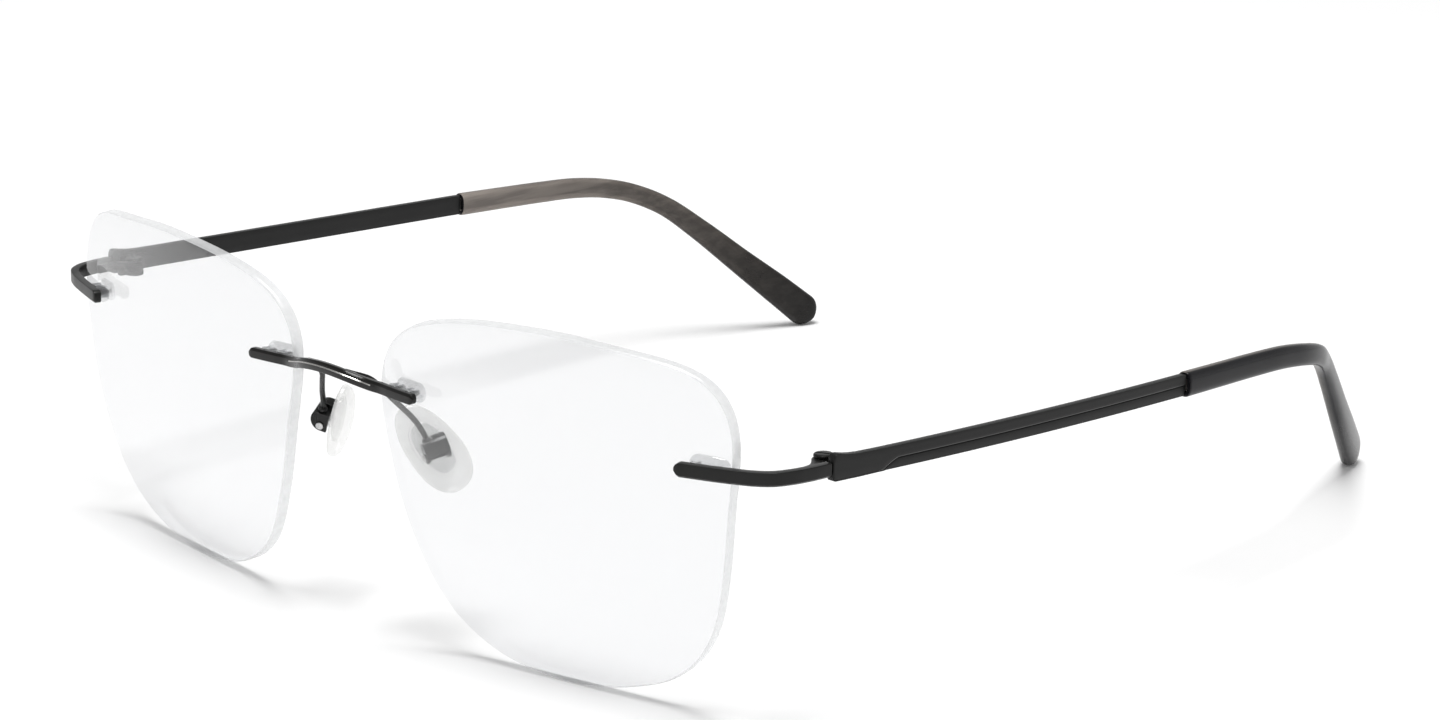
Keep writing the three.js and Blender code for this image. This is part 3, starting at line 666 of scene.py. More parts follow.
TIP_BORE = clear(
    "tip_bore", tone=(0.97, 0.965, 0.96), veil=0.02, veil_edge=0.2, gloss_roughness=0.1
)

# ------------------------------------------------------------------ lens
WRAP, TILT = 0.1498, -0.095  # radians
LENS_CURVE_RADIUS, LENS_THICK = 109.4, 1.7
LENS_CENTRE = vec(35.62, 0, 23.52)
# Lens axes: N out of the front face, U along it away from the nose, V up it
LENS_N = vec(
    math.sin(WRAP) * math.cos(TILT), -math.cos(WRAP) * math.cos(TILT), math.sin(TILT)
)
LENS_U = vec(math.cos(WRAP), math.sin(WRAP), 0)
LENS_V = unit(np.cross(LENS_N, LENS_U))
# Lens radius every 5 degrees, from U towards V
OUTLINE = [
    26.74, 27.08, 27.65, 28.45, 29.4, 30.32, 30.95, 31.03, 30.43, 29.25, 27.83, 26.47,
    25.32, 24.41, 23.73, 23.26, 22.94, 22.72, 22.62, 22.65, 22.82, 23.14, 23.61, 24.23,
    24.99, 25.89, 26.93, 28.06, 29.08, 29.78, 29.99, 29.66, 28.88, 27.84, 26.79, 25.93,
    25.31, 24.87, 24.55, 24.35, 24.25, 24.25, 24.34, 24.53, 24.74, 24.89, 24.95, 24.93,
    24.87, 24.78, 24.66, 24.5, 24.33, 24.3, 24.38, 24.53, 24.72, 24.92, 25.18, 25.52,
    25.98, 26.54, 27.02, 27.33, 27.46, 27.45, 27.32, 27.09, 26.82, 26.62, 26.53, 26.57,
]
PIN_PITCH = 2.9
HOLE_R, HOLE_RIM_R = 0.8, 1.05


def outline_radii(count):
    """Lens radius at even angles: the outline's values joined by a closed cubic."""
    radii = np.array(OUTLINE)
    position = np.arange(count) / count * len(radii)
    index = np.floor(position).astype(int)
    f = position - index
    before, start, end, after = (radii[(index + k) % len(radii)] for k in (-1, 0, 1, 2))
    cubic = 3 * (start - end) + after - before
    square = 2 * before - 5 * start + 4 * end - after
    return start + 0.5 * f * (end - before + f * (square + f * cubic))


def on_lens(u, v, height=0.0):
    """Point over the curved front face of the lens."""
    r2 = u * u + v * v
    sag = -r2 / (LENS_CURVE_RADIUS + math.sqrt(LENS_CURVE_RADIUS**2 - r2))
    return LENS_CENTRE + u * LENS_U + v * LENS_V + (sag + height) * LENS_N


def lens_normal(u, v):
    return unit(LENS_N * math.sqrt(LENS_CURVE_RADIUS**2 - u * u - v * v) + u * LENS_U + v * LENS_V)


def pin_pair(u, v, slope):
    """Centre, pin axis, direction from the first pin to the second, and the two places."""
    axis = lens_normal(u, v)
    along = unit(on_lens(u + 0.5, v + 0.5 * slope) - on_lens(u - 0.5, v - 0.5 * slope))
    along = unit(along - (along @ axis) * axis)
    centre = on_lens(u, v)
    return centre, axis, along, [centre - along * PIN_PITCH / 2, centre + along * PIN_PITCH / 2]


NASAL = pin_pair(-23.3, 10.25, 0.0)
TEMPORAL = pin_pair(23.9, 8.72, -0.09)


def lens():
    count = 432
    full = outline_radii(count)
    angles = np.arange(count) * 2 * math.pi / count
    # (share of the outline, inset from it, depth behind the front face)
    face = [(s, 0, 0) for s in (0.03, 0.12, 0.25, 0.4, 0.55, 0.7, 0.82, 0.91, 0.96)]
    front = face + [(1, 0.34, 0), (1, 0.24, 0.012), (1, 0.05, 0.17), (1, 0, 0.25)]
    back = [(share, inset, LENS_THICK - depth) for share, inset, depth in reversed(front)]
    rings = []
    for share, inset, depth in front + [(1, 0, 0.6), (1, 0, 1.1)] + back:
        radii = full * share - inset
        rings.append(
            np.array(
                [on_lens(r * math.cos(a), r * math.sin(a), -depth) for r, a in zip(radii, angles)]
            )
        )
    # hole cutters, widening at both faces
    profile = [
        (HOLE_RIM_R, -3), (HOLE_RIM_R, -LENS_THICK - 0.15), (HOLE_R, -LENS_THICK + 0.12),
        (HOLE_R, -0.12), (HOLE_RIM_R, 0.15), (HOLE_RIM_R, 2),
    ]
    cutters = [
        lathe(profile, place, axis) for _, axis, _, places in (NASAL, TEMPORAL) for place in places
    ]

    def ground_edge(centre, normal):
        offset = centre - LENS_CENTRE
        face_normal = lens_normal(offset @ LENS_U, offset @ LENS_V)
        return 0 if abs(normal @ face_normal) > 0.9 else 1

    emit(
        "lens_*", cut(skin(rings), *cutters), "front", [LENS_POLISH, LENS_EDGE],
        sharp=28, slot_of=ground_edge,
    )


def bushing(label, pair):
    """Long rounded plate behind the lens with a tube into each hole."""
    centre, axis, along, places = pair
    across = np.cross(axis, along)
    plate_r = 1.3
    top, bottom = -LENS_THICK - 0.07, -LENS_THICK - 0.52
    # (inset, height over the lens front)
    profile = [
        (0.5, bottom), (0.14, bottom), (0.04, bottom + 0.04), (0, bottom + 0.14),
        (0, top - 0.08), (0.05, top), (0.5, top),
    ]
    turn = 2 * math.pi * np.arange(48) / 48
    straight = PIN_PITCH / 2 * np.sign(np.round(np.cos(turn), 9))
    rings = []
    for inset, height in profile:
        r = plate_r - inset
        rings.append(
            centre
            + (straight + r * np.cos(turn))[:, None] * along
            + (r * np.sin(turn))[:, None] * across
            + axis * height
        )
    tube = [(0.62, -LENS_THICK - 0.3), (0.68, -LENS_THICK - 0.25), (0.68, -0.22), (0.62, -0.12)]
    bore = [(0.46, -LENS_THICK - 3), (0.46, 1)]
    piece = join(skin(rings), *(lathe(tube, place, axis, 32) for place in places))
    piece = cut(piece, *(lathe(bore, place, axis, 32) for place in places))
    emit(f"bushing_{label}_*", piece, "front", [BUSHING_CLEAR], sharp=30)


def pin(label, pair, index):
    _, axis, _, places = pair
    overhang = 0.4  # behind the lens
    length = LENS_THICK + overhang + 0.03
    profile = [(0.10, 0), (0.24, 0.035), (0.31, 0.1), (0.34, 0.2), (0.34, 1.9), (0.34, length)]
    start = places[index] + axis * (-LENS_THICK - overhang)
    emit(f"{label}_*", lathe(profile, start, axis, 24), "front", [PIN_STEEL], sharp=40)


# ------------------------------------------------------------------ endpiece
BAR_GAP = 0.07  # between the lens front and the bars on it
ENDPIECE_THICK, ENDPIECE_TALL = 1.15, 1.85
ENDPIECE_HEIGHT = BAR_GAP + ENDPIECE_THICK / 2
TEMPLE_FRONT = 16.85
ENDPIECE_END = TEMPLE_FRONT - 0.2


def endpiece():
    """Bar on the lens front that turns back to meet the temple."""
    curve = Curve(
        [
            on_lens(20.45, 8.82, ENDPIECE_HEIGHT),
            on_lens(22.5, 8.78, ENDPIECE_HEIGHT),
            on_lens(25.0, 8.7, ENDPIECE_HEIGHT),
            on_lens(27.6, 8.66, ENDPIECE_HEIGHT + 0.05),
            vec(65.35, 7.65, 32.5),
            vec(67.4, 8.95, 32.63),
            vec(68.55, 11.0, 32.7),
            vec(69.1, 13.8, 32.66),
            vec(69.35, ENDPIECE_END, 32.62),
        ]
    )
    length = curve.length
    stations = end_steps(0.85, 8) + list(np.linspace(1.1, length - 0.25, 72))
    stations += [length - 0.12, length - 0.04, length]

    def section(d):
        k = end_scale(d + 0.02, 0.87, 0.1)
        k_thick = 0.62 + 0.38 * k
        chamfer = 0.16 * max(0, (d - (length - 0.12)) / 0.12)
        tall = ENDPIECE_TALL * k - chamfer
        thick = ENDPIECE_THICK * k_thick - chamfer
        facet = min(0.30, 0.3 * tall)
        polygon = [
            (-thick / 2, -tall / 2),
            (thick / 2, -tall / 2),
            (thick / 2, tall / 2 - facet),
            (thick / 2 - 0.34 * k_thick, tall / 2),
            (-thick / 2, tall / 2),
        ]
        return soften(polygon, [r * k for r in (0.14, 0.12, 0.06, 0.07, 0.14)])

    emit(
        "endpiece_*", sweep(curve, stations, section), "front",
        [ENDPIECE_BLACK], sharp=40,
    )


# ------------------------------------------------------------------ temple dimensions
# Centre of the blade's front end, and where the blade meets the tip
HEAD, JUNCTION = vec(69.45, TEMPLE_FRONT, 32.6), vec(70.5, 85.47, 29.59)
BLADE_THICK, BLADE_TALL = 1.1, 3.05
BOW, SAG = 0.55, 0.15  # outwards and down at mid-length
BLADE_DIR = unit(JUNCTION - HEAD)
BLADE_LENGTH = float(np.linalg.norm(JUNCTION - HEAD))
BLADE_SIDE = unit(np.cross(BLADE_DIR, UP))
BLADE_UP = np.cross(BLADE_SIDE, BLADE_DIR)
# (distance from the front end, offset from half the blade's height): upper and lower edge
BLADE_TOP = [
    (0, -0.25), (0.1, 0.02), (0.22, 0.25), (0.35, 0.37), (0.55, 0.43), (0.9, 0.44),
    (2.2, 0.2), (3.4, 0.06), (4.6, -0.02), (8.0, -0.05),
]
BLADE_BOTTOM = [
    (0, 0.45), (0.05, 0.3), (0.15, 0.12), (0.3, 0.05), (0.5, 0), (4.6, 0), (8.0, 0.05),
]
# Centre line of the core wire and the tip behind the blade
BACK_CURVE = Curve(
    [
        JUNCTION, (70.12, 95.0, 29.21), (69.75, 103.0, 28.87), (69.39, 110.5, 28.4),
        (68.8, 116.65, 27.48), (67.35, 121.75, 26.1), (64.9, 126.8, 23.55),
        (62.3, 132.65, 18.9), (59.4, 139.4, 12.95), (56.8, 145.5, 7.65), (54.25, 151.5, 2.3),
    ]
)
BACK_LENGTH = BACK_CURVE.length
# (distance from the junction, size): height and thickness of the tip
TIP_TALL = [
    (0, 3.5), (9.5, 3.4), (17.5, 3.34), (25, 3.26), (31, 3.12), (36.5, 3.08),
    (43, 3.2), (50.5, 3.6), (60, 4.25), (68.5, 5.0), (77, 5.45),
]
TIP_THICK = [
    (0, 2.35), (9.5, 2.35), (17.5, 2.3), (25, 2.22), (31, 2.15), (36.5, 2.18),
    (43, 2.25), (50.5, 2.4), (60, 2.55), (68.5, 2.7), (77, 2.85),
]
TIP_POWER = 2.6  # superellipse power of the tip's section

# ------------------------------------------------------------------ hinge
BLADE_INNER = HEAD[0] - BLADE_THICK / 2
KNUCKLE_R, KNUCKLE_GAP, HINGE_BORE_R = 1.3, 0.06, 0.65


def hinge_point(z):
    return vec(HINGE_X, HINGE_Y, z)


def knuckle(z0, z1):
    return rod(hinge_point(z0), hinge_point(z1), KNUCKLE_R, 56, 0.08)


def hinge_front():
    """Leaf inside the endpiece, with a lug to the upper knuckle and a post to the lower one."""
    leaf = bevel(block((67.55, 68.2), (13.4, 16.7), (31.95, 33.2)), 0.12, 3)
    # (x, y, corner radius)
    lug_outline = [
        (67.6, 13.4, 0.1), (68.2, 13.4, 0.1), (68.2, 16.8, 0.25), (67.5, 17.7, 0.3),
        (66.5, 18.4, 0.1), (65.35, 18.3, 0.3), (65.8, 17.35, 1.2), (66.55, 16.55, 1.6),
        (67.15, 15.7, 1.6), (67.5, 14.6, 2.0),
    ]
    flat = soften([row[:2] for row in lug_outline], [row[2] for row in lug_outline], 5)
    levels = (KNUCKLE_HIGH + KNUCKLE_GAP, KNUCKLE_END - 0.01)
    lug = skin([np.array([(x, y, z) for x, y in flat]) for z in levels])
    post_x, post_y, post_z = (66.65, 67.5), 16.6, KNUCKLE_LOW + 0.06
    post = block(post_x, (post_y, 17.3), (post_z, 32.9))
    foot = block(post_x, (post_y, HINGE_Y - 0.3), (post_z, KNUCKLE_MID - 0.07))
    piece = leaf
    for part in (lug, post, foot):
        piece = join(piece, bevel(part, 0.06))
    piece = join(
        piece,
        knuckle(KNUCKLE_LOW, KNUCKLE_MID - KNUCKLE_GAP),
        knuckle(KNUCKLE_HIGH + KNUCKLE_GAP, KNUCKLE_END),
    )
    bore = [(HINGE_BORE_R, 0), (HINGE_BORE_R, 5)]
    piece = cut(piece, lathe(bore, hinge_point(KNUCKLE_LOW + 0.12), UP))
    emit("hinge_front_*", piece, "front", [HINGE_BLACK], sharp=30)


def hinge_rear():
    """Middle knuckle with an arm to a foot on the blade's inner face."""
    piece = knuckle(KNUCKLE_MID + KNUCKLE_GAP, KNUCKLE_HIGH - KNUCKLE_GAP)
    arm = block(
        (HINGE_X, BLADE_INNER - 0.08),
        (HINGE_Y - 0.2, HINGE_Y + 1.3),
        (KNUCKLE_MID + 0.09, KNUCKLE_HIGH - 0.09),
    )
    foot = block(
        (BLADE_INNER - 0.65, BLADE_INNER - 0.06), (HINGE_Y - 1.0, HINGE_Y + 3.4), (31.35, 33.45)
    )
    piece = join(piece, bevel(arm, 0.06), bevel(foot, 0.16, 3))
    bore = [(HINGE_BORE_R, -2), (HINGE_BORE_R, 3)]
    piece = cut(piece, lathe(bore, hinge_point(KNUCKLE_MID), UP))
    emit("hinge_rear_*", piece, "temple_*_body", [HINGE_BLACK], sharp=30)


def hinge_screw():
    start = KNUCKLE_LOW + 0.2
    under, top = KNUCKLE_END + 0.05 - start, SCREW_TOP - start  # underside and top of the head
    profile = [
        (0.42, 0), (0.5, 0.08), (0.5, under), (1.0, under), (1.2, under + 0.03),
        (1.3, under + 0.11), (1.3, top - 0.2), (1.26, top - 0.1), (1.15, top - 0.03),
        (0.95, top), (0.3, top),
    ]
    slot_angle = math.radians(24)
    along = vec(math.cos(slot_angle), math.sin(slot_angle), 0)
    across = vec(-math.sin(slot_angle), math.cos(slot_angle), 0)
    driver_slot = block(
        (-2, 2), (-0.16, 0.16), (-0.28, 1.0),
        lambda x, y, z: hinge_point(SCREW_TOP) + x * along + y * across + z * UP,
    )
    piece = cut(lathe(profile, hinge_point(start), UP, 56), driver_slot)
    emit("hinge_screw_*", piece, "front", [HINGE_SCREW_BLACK], sharp=35)


# ------------------------------------------------------------------ temple
def blade_mid(d):
    """Centre line of the blade, bowed outwards and a little down at mid-length."""
    t = min(1.0, max(0.0, d / BLADE_LENGTH))
    k = 4 * t * (1 - t)
    return HEAD + d * BLADE_DIR + BOW * k * BLADE_SIDE - SAG * k * BLADE_UP


def blade_bottom(d):
    return table_at(d, BLADE_BOTTOM) - BLADE_TALL / 2


def groove_at(d):
    """Height of the engraved line on the outer face.

    It leaves the lower edge in an S and then runs almost level to the tip.
    """
    s_start, s_end = 7.8, 11.9
    low = blade_bottom(d) - 0.02
    level = -0.14 + 0.13 * table_at(d, [(14, 0), (68, 1)])
    return low + (level - low) * float(smooth((d - s_start) / (s_end - s_start)))


def blade_ring(d, end):
    """Section of the blade: the outer face is set back below the line."""
    edge = 0.10  # edge rounding
    shrink = max(0.0, 1 - d / 0.1) * 0.08 + max(0.0, (d - (end - 0.08)) / 0.08) * 0.06
    top = BLADE_TALL / 2 + table_at(d, BLADE_TOP) - shrink
    bottom = blade_bottom(d) + shrink
    line = groove_at(d)
    k = float(smooth((line - bottom - 0.12) / 0.45))  # how fully the line is cut here
    line = max(line, bottom + edge + 0.04 + 0.06 * (1 - k))
    half_width = 0.085
    out = BLADE_THICK / 2 - shrink
    step = 0.13 * k
    floor = out - 0.20 * k - step * 0.3
    lower = out - step
    # (outwards, up), from the inner end of the bottom round the outer face
    points = [
        (-out + edge, bottom), (out - edge - step, bottom),
        (lower - 0.03, bottom + 0.03), (lower, bottom + edge),
        (lower, bottom + (line - half_width - bottom) * 0.55),
        (lower, line - half_width - 0.03), (lower - 0.02, line - half_width),
        (floor, line - half_width * 0.45), (floor, line + half_width * 0.45),
        (out - 0.05 * k - 0.01, line + half_width), (out, line + half_width + 0.03 + 0.1 * k),
        (out, line + (top - line) * 0.35), (out, line + (top - line) * 0.7),
        (out, top - edge), (out - 0.03, top - 0.03), (out - edge, top),
        (0, top), (-out + edge, top), (-out + 0.03, top - 0.03), (-out, top - edge),
        (-out, bottom + (top - bottom) * 0.66), (-out, bottom + (top - bottom) * 0.33),
        (-out, bottom + edge), (-out + 0.03, bottom + 0.03),
    ]
    return np.array([blade_mid(d) + a * BLADE_SIDE + b * BLADE_UP for a, b in points])


def temple_blade():
    end = BLADE_LENGTH + 0.6
    stations = [0, 0.02, 0.06, 0.1, 0.16, 0.24, 0.34, 0.48, 0.7, 1.0, 1.4, 1.8, 2.3, 2.8]
    stations += [3.4, 4.0, 4.6, *np.linspace(5.2, 7.4, 5), *np.linspace(7.8, 12.4, 33)]
    stations += [*np.linspace(13.4, end - 0.5, 48), end - 0.2, end - 0.08, end]

    def line_slots(centre, normal):
        d = (centre - HEAD) @ BLADE_DIR
        offset = centre - blade_mid(d)
        out = offset @ BLADE_SIDE
        over = offset @ BLADE_UP - groove_at(d)
        if not 8.0 < d < BLADE_LENGTH + 0.5:
            return 0
        # the floor of the line, which gets the painted shade
        if abs(over) < 0.05 and 0.25 < out < 0.5:
            return 1
        # the chamfered upper lip of the line, which carries a painted highlight, brighter along the
        # S start
        if 0.09 < over < 0.21 and BLADE_THICK / 2 - 0.058 < out < BLADE_THICK / 2 - 0.004:
            return 3 if d < 11.2 else 2
        return 0

    emit(
        "temple_*", skin([blade_ring(d, end) for d in stations]), "temple_*_body",
        [TEMPLE_SATIN, TEMPLE_GROOVE_SHADE, LINE_LIP_HIGHLIGHT, LINE_START_HIGHLIGHT],
        sharp=40, slot_of=line_slots,
    )


def temple_core():
    """Flat core wire with rounded edges and a rounded end."""
    end = BACK_LENGTH - 5.5
    stations = list(np.linspace(0.62, end - 1.0, 70)) + end_stations(end, 0.85, 6)

    def section(d):
        k = end_scale(end - d + 0.01, 0.86, 0.08)
        x, y = 0.45 * (0.6 + 0.4 * k), 0.85 * k
        return soften([(-x, -y), (x, -y), (x, y), (-x, y)], [0.2 * k] * 4)

    emit(
        "temple_core_*", sweep(BACK_CURVE, stations, section), "temple_*_body",
        [CORE_WIRE], sharp=40, replaces=False,
    )


def tip_size(d):
    """Thickness and height of the tip at a distance from the junction."""
    end = end_scale(BACK_LENGTH - d + 0.01, 2.5, 0.05)
    start = 0.9 + 0.1 * end_scale(d - 0.88, 0.35, 0.0) if d < 1.3 else 1.0
    thick = table_at(d, TIP_THICK) * (0.5 + 0.5 * end) * start
    return thick, table_at(d, TIP_TALL) * end * start


def temple_tip():
    """Outer skin and bore in one closed mesh."""
    bore_end = BACK_LENGTH - 4.9
    outer = [0.9, 0.93, 1.0, 1.1, 1.25, 1.5, 2.0, *np.linspace(3, BACK_LENGTH - 2.6, 92)]
    outer += end_stations(BACK_LENGTH, 2.5, 12)
    bore = [0.9, 1.2, *reversed(np.linspace(bore_end - 1.2, 2.0, 60))]
    bore += [bore_end - 0.25, bore_end - 0.02]
    rings = []
    for d in reversed(outer):
        thick, tall = tip_size(d)
        rings.append(BACK_CURVE.ring(d, superellipse(thick / 2, tall / 2, TIP_POWER)))
    for d in bore:
        k = 1.0 if d < bore_end - 0.1 else 0.8
        rings.append(BACK_CURVE.ring(d, superellipse(0.575 * k, 1.0 * k, 4.5)))

    def bore_slot(centre, normal):
        d = BACK_CURVE.nearest(centre, 6)
        middle, side, down = BACK_CURVE.frame(d)
        x, y = (centre - middle) @ side, (centre - middle) @ down
        thick, tall = tip_size(d)
        # 1 on the outer skin, less inside it
        depth = abs(2 * x / thick) ** TIP_POWER + abs(2 * y / tall) ** TIP_POWER
        return 1 if depth < 0.62 and 1.0 < d < bore_end + 0.1 else 0

    emit(
        "temple_tip_*", skin(rings), "temple_*_body", [TIP_ACETATE, TIP_BORE],
        sharp=40, slot_of=bore_slot,
    )


# ------------------------------------------------------------------ bridge
BRIDGE_HEIGHT = BAR_GAP + 0.5


def bridge_section(edge_distance):
    """Bridge section at a distance from its nearer end, as [forwards, down]."""
    k = end_scale(edge_distance + 0.02, 0.67, 0.1)
    m = float(smooth((edge_distance - 6.5) / 4))  # share of the middle's shape
    tall = (1.35 + 0.05 * m) * k
    thick = (1.0 + 0.15 * m) * (0.62 + 0.38 * k)
    x, y = thick / 2, tall / 2
    # (forwards, up) at the ends; towards the middle the front turns into an upward-facing
    # facet with a ridge under it
    flat = np.array(
        [(-x, -y), (x, -y), (x + 0.012, 0.0), (x + 0.012, 0.14 * tall), (x, y - 0.22 * tall),
         (x - 0.3 * thick, y), (-x, y)]
    )
    middle = np.array(
        [(-x, -y + 0.02), (x - 0.22, -y), (x, tall * 0.1), (x - 0.15, tall * 0.1 + 0.12),
         (x - 0.24, tall * 0.33), (x - 0.5, y), (-x, y - 0.05)]
    )
    radii = [0.12, 0.12 + 0.06 * m, 0.02 + 0.02 * m, 0.03, 0.08, 0.1 + 0.06 * m, 0.12]
    polygon = flat * (1 - m) + middle * m
    polygon = (polygon * np.array([1, -1]))[::-1]
    return soften(polygon, [r * k for r in reversed(radii)], 5)


def bridge():
    half = [
        vec(2.2, -3.76, 35.3), vec(4.2, -3.36, 34.97), vec(6.0, -2.6, 34.46),
        vec(7.6, -2.1, 34.16), on_lens(-26.5, 10.27, BRIDGE_HEIGHT + 0.03),
    ]
    half += [on_lens(u, 10.27, BRIDGE_HEIGHT) for u in (-24.5, -22.2, -19.85)]
    mirrored = [p * vec(-1, 1, 1) for p in reversed(half)]
    curve = Curve(mirrored + [vec(0, -3.86, 35.41)] + half, 4000)
    length = curve.length
    stations = end_steps(0.65, 8) + list(np.linspace(0.95, length - 0.95, 121))
    stations += end_stations(length, 0.65, 8)

    def ledge_slot(centre, normal):
        """Picks the narrow ledge along the ridge in the middle that carries the painted highlight.
        """
        d = curve.nearest(centre, 8)
        middle, front, down = curve.frame(d)
        offset = centre - middle
        on_ledge = (
            abs(d - length / 2) < 8.8
            and normal @ -down > 0.3
            and normal @ front > 0.25
            and 0.1 < offset @ -down < 0.3
            and offset @ front > 0.41
        )
        return 1 if on_ledge else 0

    piece = sweep(curve, stations, lambda d: bridge_section(min(d, length - d)))
    # the ledge faces get the painted highlight material
    emit(
        "bridge", piece, "front", [BRIDGE_GLOSS, BRIDGE_LEDGE_HIGHLIGHT],
        sharp=40, slot_of=ledge_slot, sides=("",),
    )


# ------------------------------------------------------------------ nose pads
# Pad axes: UP along its length, FACE out of its domed face, ACROSS its width
PAD_UP = unit(vec(-0.509, -0.365, 0.78))
PAD_LEAN = vec(-0.805, 0.523, -0.28)
PAD_FACE = unit(PAD_LEAN - (PAD_LEAN @ PAD_UP) * PAD_UP)
PAD_ACROSS = np.cross(PAD_UP, PAD_FACE)
PAD_CENTRE = vec(8.75, 7.4, 24.0)
PAD_LONG, PAD_WIDE, PAD_THICK = 13.2, 7.0, 1.9
PAD_BACK = -PAD_THICK / 2
# Box behind the pad, turned about the face axis; its depths are along that axis
BOX_MOUTH, BOX_DEEP, BOX_LONG, BOX_WIDE = -1.55, 2.4, 3.4, 3.3
SCREW_U, SCREW_F = -0.85, BOX_MOUTH - 0.95
SEAT_U = 1.0
BOX_TURN = math.radians(20)
BOX_ACROSS = math.cos(BOX_TURN) * PAD_ACROSS + math.sin(BOX_TURN) * PAD_UP
BOX_UP = -math.sin(BOX_TURN) * PAD_ACROSS + math.cos(BOX_TURN) * PAD_UP


def box_point(w, u, f):
    return PAD_CENTRE + w * BOX_ACROSS + u * BOX_UP + f * PAD_FACE


def oval_rings(rings, count, power=2.2, egg=0.0):
    """Rings from (half width, half length, depth); egg narrows the upper end."""
    out = []
    for half_width, half_length, f in rings:
        oval = superellipse(half_width, half_length, power, count)
        w, u = oval[:, :1], oval[:, 1:]
        w = w * (1 - egg * (u / (PAD_LONG / 2)))
        out.append(PAD_CENTRE + w * PAD_ACROSS + u * PAD_UP + f * PAD_FACE)
    return out


def nose_pad():
    # (share of the outline, share of the thickness), from the domed face to the flat back
    profile = [
        (0.03, 0.5), (0.18, 0.499), (0.36, 0.49), (0.52, 0.468), (0.66, 0.425), (0.78, 0.36),
        (0.87, 0.27), (0.94, 0.15), (0.98, 0.02), (1.0, -0.13), (1.0, -0.26), (0.985, -0.37),
        (0.955, -0.45), (0.91, -0.49), (0.86, -0.5), (0.72, -0.5),
    ]
    dome = [(PAD_WIDE / 2 * r, PAD_LONG / 2 * r, f * PAD_THICK) for r, f in profile]
    # pocket for the insert in the back: (half width, half length, depth from the back)
    pocket = [
        (2.42, 4.22, 0), (2.34, 4.14, 0.04), (2.3, 4.1, 0.12), (2.3, 4.1, 0.57),
        (2.22, 4.02, 0.65), (0.2, 0.4, 0.65),
    ]
    rings = oval_rings(dome, 64, 2.25, 0.13)
    rings += oval_rings([(w, u, PAD_BACK + f) for w, u, f in pocket], 64)
    emit(
        "nose_pad_*", skin(rings), "nose_pad_*_body", [PAD_SILICONE], sharp=42
    )


def screw_rod(half_length, radius, segments, edge):
    """Rod along the pad screw's axis, centred on the box."""
    start = box_point(-half_length, SCREW_U, SCREW_F)
    end = box_point(half_length, SCREW_U, SCREW_F)
    return rod(start, end, radius, segments, edge, BOX_UP)


def pad_insert():
    """Oval plate in the pad's pocket with a drilled lug into the box."""
    # (half width, half length, depth from the pad's back)
    plate = [
        (1.6, 3.4, 0.02), (1.9, 3.7, 0.04), (2.0, 3.8, 0.12), (2.0, 3.8, 0.4), (1.9, 3.7, 0.48),
        (1.6, 3.4, 0.5),
    ]
    piece = skin(oval_rings([(w, u, PAD_BACK + f) for w, u, f in plate], 56))
    half = 0.6  # of the lug's width, and the radius of its end
    lug = block(
        (-half, half), (SCREW_U - 0.55, SCREW_U + half), (SCREW_F, PAD_BACK + 0.25), box_point
    )
    piece = join(piece, bevel(lug, 0.1, 3))
    piece = join(piece, screw_rod(half, half, 40, 0.1))
    piece = cut(piece, screw_rod(2, 0.4, 32, 0.01))
    emit(
        "nose_pad_insert_*", piece, "nose_pad_*_body", [PAD_INSERT_CLEAR], sharp=35
    )


def pad_box():
    """D-shaped cup: straight open mouth towards the pad, round back, one cheek cut lower."""
    half, straight = BOX_LONG / 2, BOX_DEEP * 0.35
    # (along the box, depth from the mouth)
    points = [(-half, 0), (half, 0), (half, straight)]
    for k in range(1, 28):
        t = math.pi * k / 28
        points.append((half * math.cos(t), straight + BOX_DEEP * 0.65 * math.sin(t)))
    points.append((-half, straight))
    piece = skin(
        [
            np.array([box_point(side * BOX_WIDE / 2, u, BOX_MOUTH - depth) for u, depth in points])
            for side in (-1, 1)
        ]
    )
    # the arm's seat, then the cavity
    seat_f = (BOX_MOUTH - BOX_DEEP - 1, BOX_MOUTH + 1)
    piece = cut(piece, block((0.02, BOX_WIDE), (SEAT_U, half + 1), seat_f, box_point))
    piece = bevel(piece, 0.2, 4, 50)
    inner = BOX_WIDE / 2 - 0.45
    cavity_f = (BOX_MOUTH - 1.85, BOX_MOUTH + 1)
    piece = cut(piece, block((-inner, inner), (-half - 1, 0.1), cavity_f, box_point))
    piece = cut(piece, screw_rod(3, 0.42, 40, 0.01))
    emit("pad_box_*", piece, "front", [PAD_BOX_BLACK], sharp=30)


def pad_screw():
    """Screw through both cheeks of the box, with a slotted head on one side."""
    half = BOX_WIDE / 2
    profile = [
        (0.3, 0), (0.5, 0.0), (0.54, 0.04), (0.54, 0.16), (0.5, 0.23), (0.42, 0.27), (0.2, 0.28),
    ]
    piece = screw_rod(half + 0.1, 0.32, 32, 0.06)
    piece = join(piece, lathe(profile, box_point(half + 0.04, SCREW_U, SCREW_F), BOX_ACROSS))
    driver_slot = block(
        (half + 0.2, half + 1), (SCREW_U - 1, SCREW_U + 1), (SCREW_F - 0.09, SCREW_F + 0.09),
        box_point,
    )
    emit("pad_screw_*", cut(piece, driver_slot), "front", [SCREW_STEEL], sharp=35)


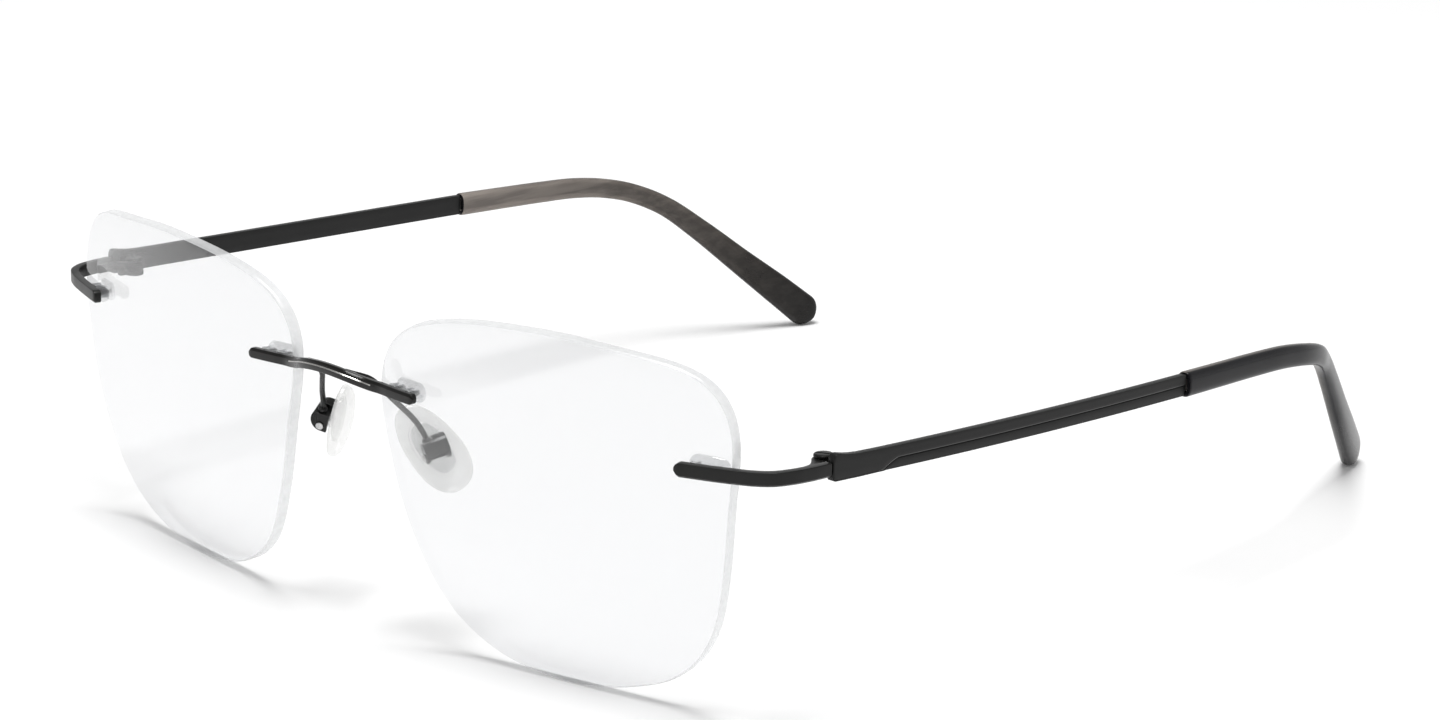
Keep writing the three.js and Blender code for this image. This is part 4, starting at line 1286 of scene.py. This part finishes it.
def pad_arm():
    """Wire from behind the bridge down to the box's seat, with a flange at its foot."""
    seat_w, seat_f = 0.8, BOX_MOUTH - 1.2
    foot = box_point(seat_w, SEAT_U + 0.3, seat_f)
    curve = Curve(
        [
            (3.0, -2.62, 35.2), (4.2, -2.25, 35.05), (5.0, -1.45, 34.75), (5.4, -0.3, 34.2),
            (5.7, 0.85, 33.2), (6.28, 1.82, 32.0), (7.05, 2.48, 31.0), (8.97, 4.12, 28.5),
            foot + BOX_UP * 0.5, foot,
        ]
    )

    def section(d):
        r = 0.38 * end_scale(d + 0.02, 0.32, 0.15)
        return superellipse(r, r, 2, 24)

    stations = end_steps(0.3, 5) + list(np.linspace(0.5, curve.length, 90))
    flange = [
        (0.4, 0), (0.56, 0.02), (0.62, 0.09), (0.62, 0.4), (0.58, 0.48), (0.45, 0.54), (0.2, 0.54),
    ]
    flange_start = box_point(seat_w, SEAT_U + 0.06, seat_f)
    piece = join(
        sweep(curve, stations, section, side=vec(0.3, -1, 0.2)),
        lathe(flange, flange_start, BOX_UP, 40, PAD_FACE),
    )
    emit("pad_arm_*", piece, "front", [PAD_ARM_BLACK], sharp=40)


lens()
bushing("nasal", NASAL)
bushing("temporal", TEMPORAL)
for bar, pair in (("bridge", NASAL), ("endpiece", TEMPORAL)):
    for index, place in enumerate(("inner", "outer")):
        pin(f"{bar}_pin_{place}", pair, index)
endpiece()
hinge_front()
hinge_rear()
hinge_screw()
temple_blade()
temple_core()
temple_tip()
bridge()
nose_pad()
pad_insert()
pad_box()
pad_screw()
pad_arm()

# ------------------------------------------------------------------ stage, in metres
scene = bpy.context.scene


def stage_floor():
    graph = new_material("stage_white")
    surface = graph.node(
        "BsdfPrincipled", Roughness=0.9, Base_Color=(0.96, 0.96, 0.96, 1), Specular_IOR_Level=0.0
    )
    material = graph.finish(surface.outputs["BSDF"])
    # the open glasses rest on the lens bottoms and the tips, which puts the surface at a
    # slope of 0.7 degrees in their own frame
    half = 4.0
    front, back = (0.0122 * (y + 0.0681) - 0.00003 for y in (-half, half))
    corners = [(-half, -half, front), (half, -half, front), (half, half, back), (-half, half, back)]
    mesh = bpy.data.meshes.new("stage_floor")
    mesh.from_pydata(corners, [], [(0, 1, 2, 3)])
    floor = bpy.data.objects.new("stage_floor", mesh)
    mesh.materials.append(material)
    scene.collection.objects.link(floor)


def studio_world():
    """White at the horizon and below, darkening to grey overhead."""
    world = bpy.data.worlds.new("studio")
    scene.world = world
    graph = Graph(world, "OutputWorld")
    direction = graph.node("TexCoord").outputs["Generated"]
    height = graph.node("SeparateXYZ", Vector=direction).outputs["Z"]
    sky = graph.tint(height, (1, 1, 1), (0.27, 0.27, 0.27), start=0.0, end=0.7)
    graph.finish(graph.node("Background", Color=sky, Strength=1.0).outputs["Background"])


def soft_top_light():
    position, aim = Vector((0.05, -0.15, 1.4)), Vector((0, 0.05, 0))
    light = bpy.data.lights.new("soft_top", "AREA")
    light.shape = "RECTANGLE"
    light.size = light.size_y = 0.66
    light.energy = 16.8
    lamp = bpy.data.objects.new("soft_top", light)
    lamp.location = position
    lamp.rotation_euler = (aim - position).to_track_quat("-Z", "Y").to_euler()
    scene.collection.objects.link(lamp)


def camera():
    target = vec(1.9964, 68.5454, 22.1993) + SHIFT  # mm
    distance = 567.443  # mm
    roll = 0.013971  # radians
    aim_right, aim_up = 0.00067, 0.00049  # small turn of the view off the target
    back = unit(vec(0.65771, -0.70237, 0.27219))  # from the target to the camera
    level_right = unit(vec(0.72993, 0.68352, 0))
    level_up = np.cross(back, level_right)
    right = math.cos(roll) * level_right + math.sin(roll) * level_up
    up = -math.sin(roll) * level_right + math.cos(roll) * level_up
    forward = unit(-back + aim_right * right + aim_up * up)
    right = unit(right - (right @ forward) * forward)
    up = np.cross(right, forward)

    data = bpy.data.cameras.new("camera")
    data.sensor_width = 36.0
    data.lens = 100.0
    data.clip_start = 0.01
    view = bpy.data.objects.new("camera", data)
    matrix = Matrix([(right[k], up[k], -forward[k]) for k in range(3)]).to_4x4()
    matrix.translation = Vector((target + back * distance) * MM)
    view.matrix_world = matrix
    scene.collection.objects.link(view)
    scene.camera = view


stage_floor()
studio_world()
soft_top_light()
camera()
scene.view_settings.view_transform = "Standard"
scene.view_settings.look = "None"
# the scene only has Cycles settings where that render engine is enabled
if hasattr(scene, "cycles"):
    scene.cycles.transparent_max_bounces = 48
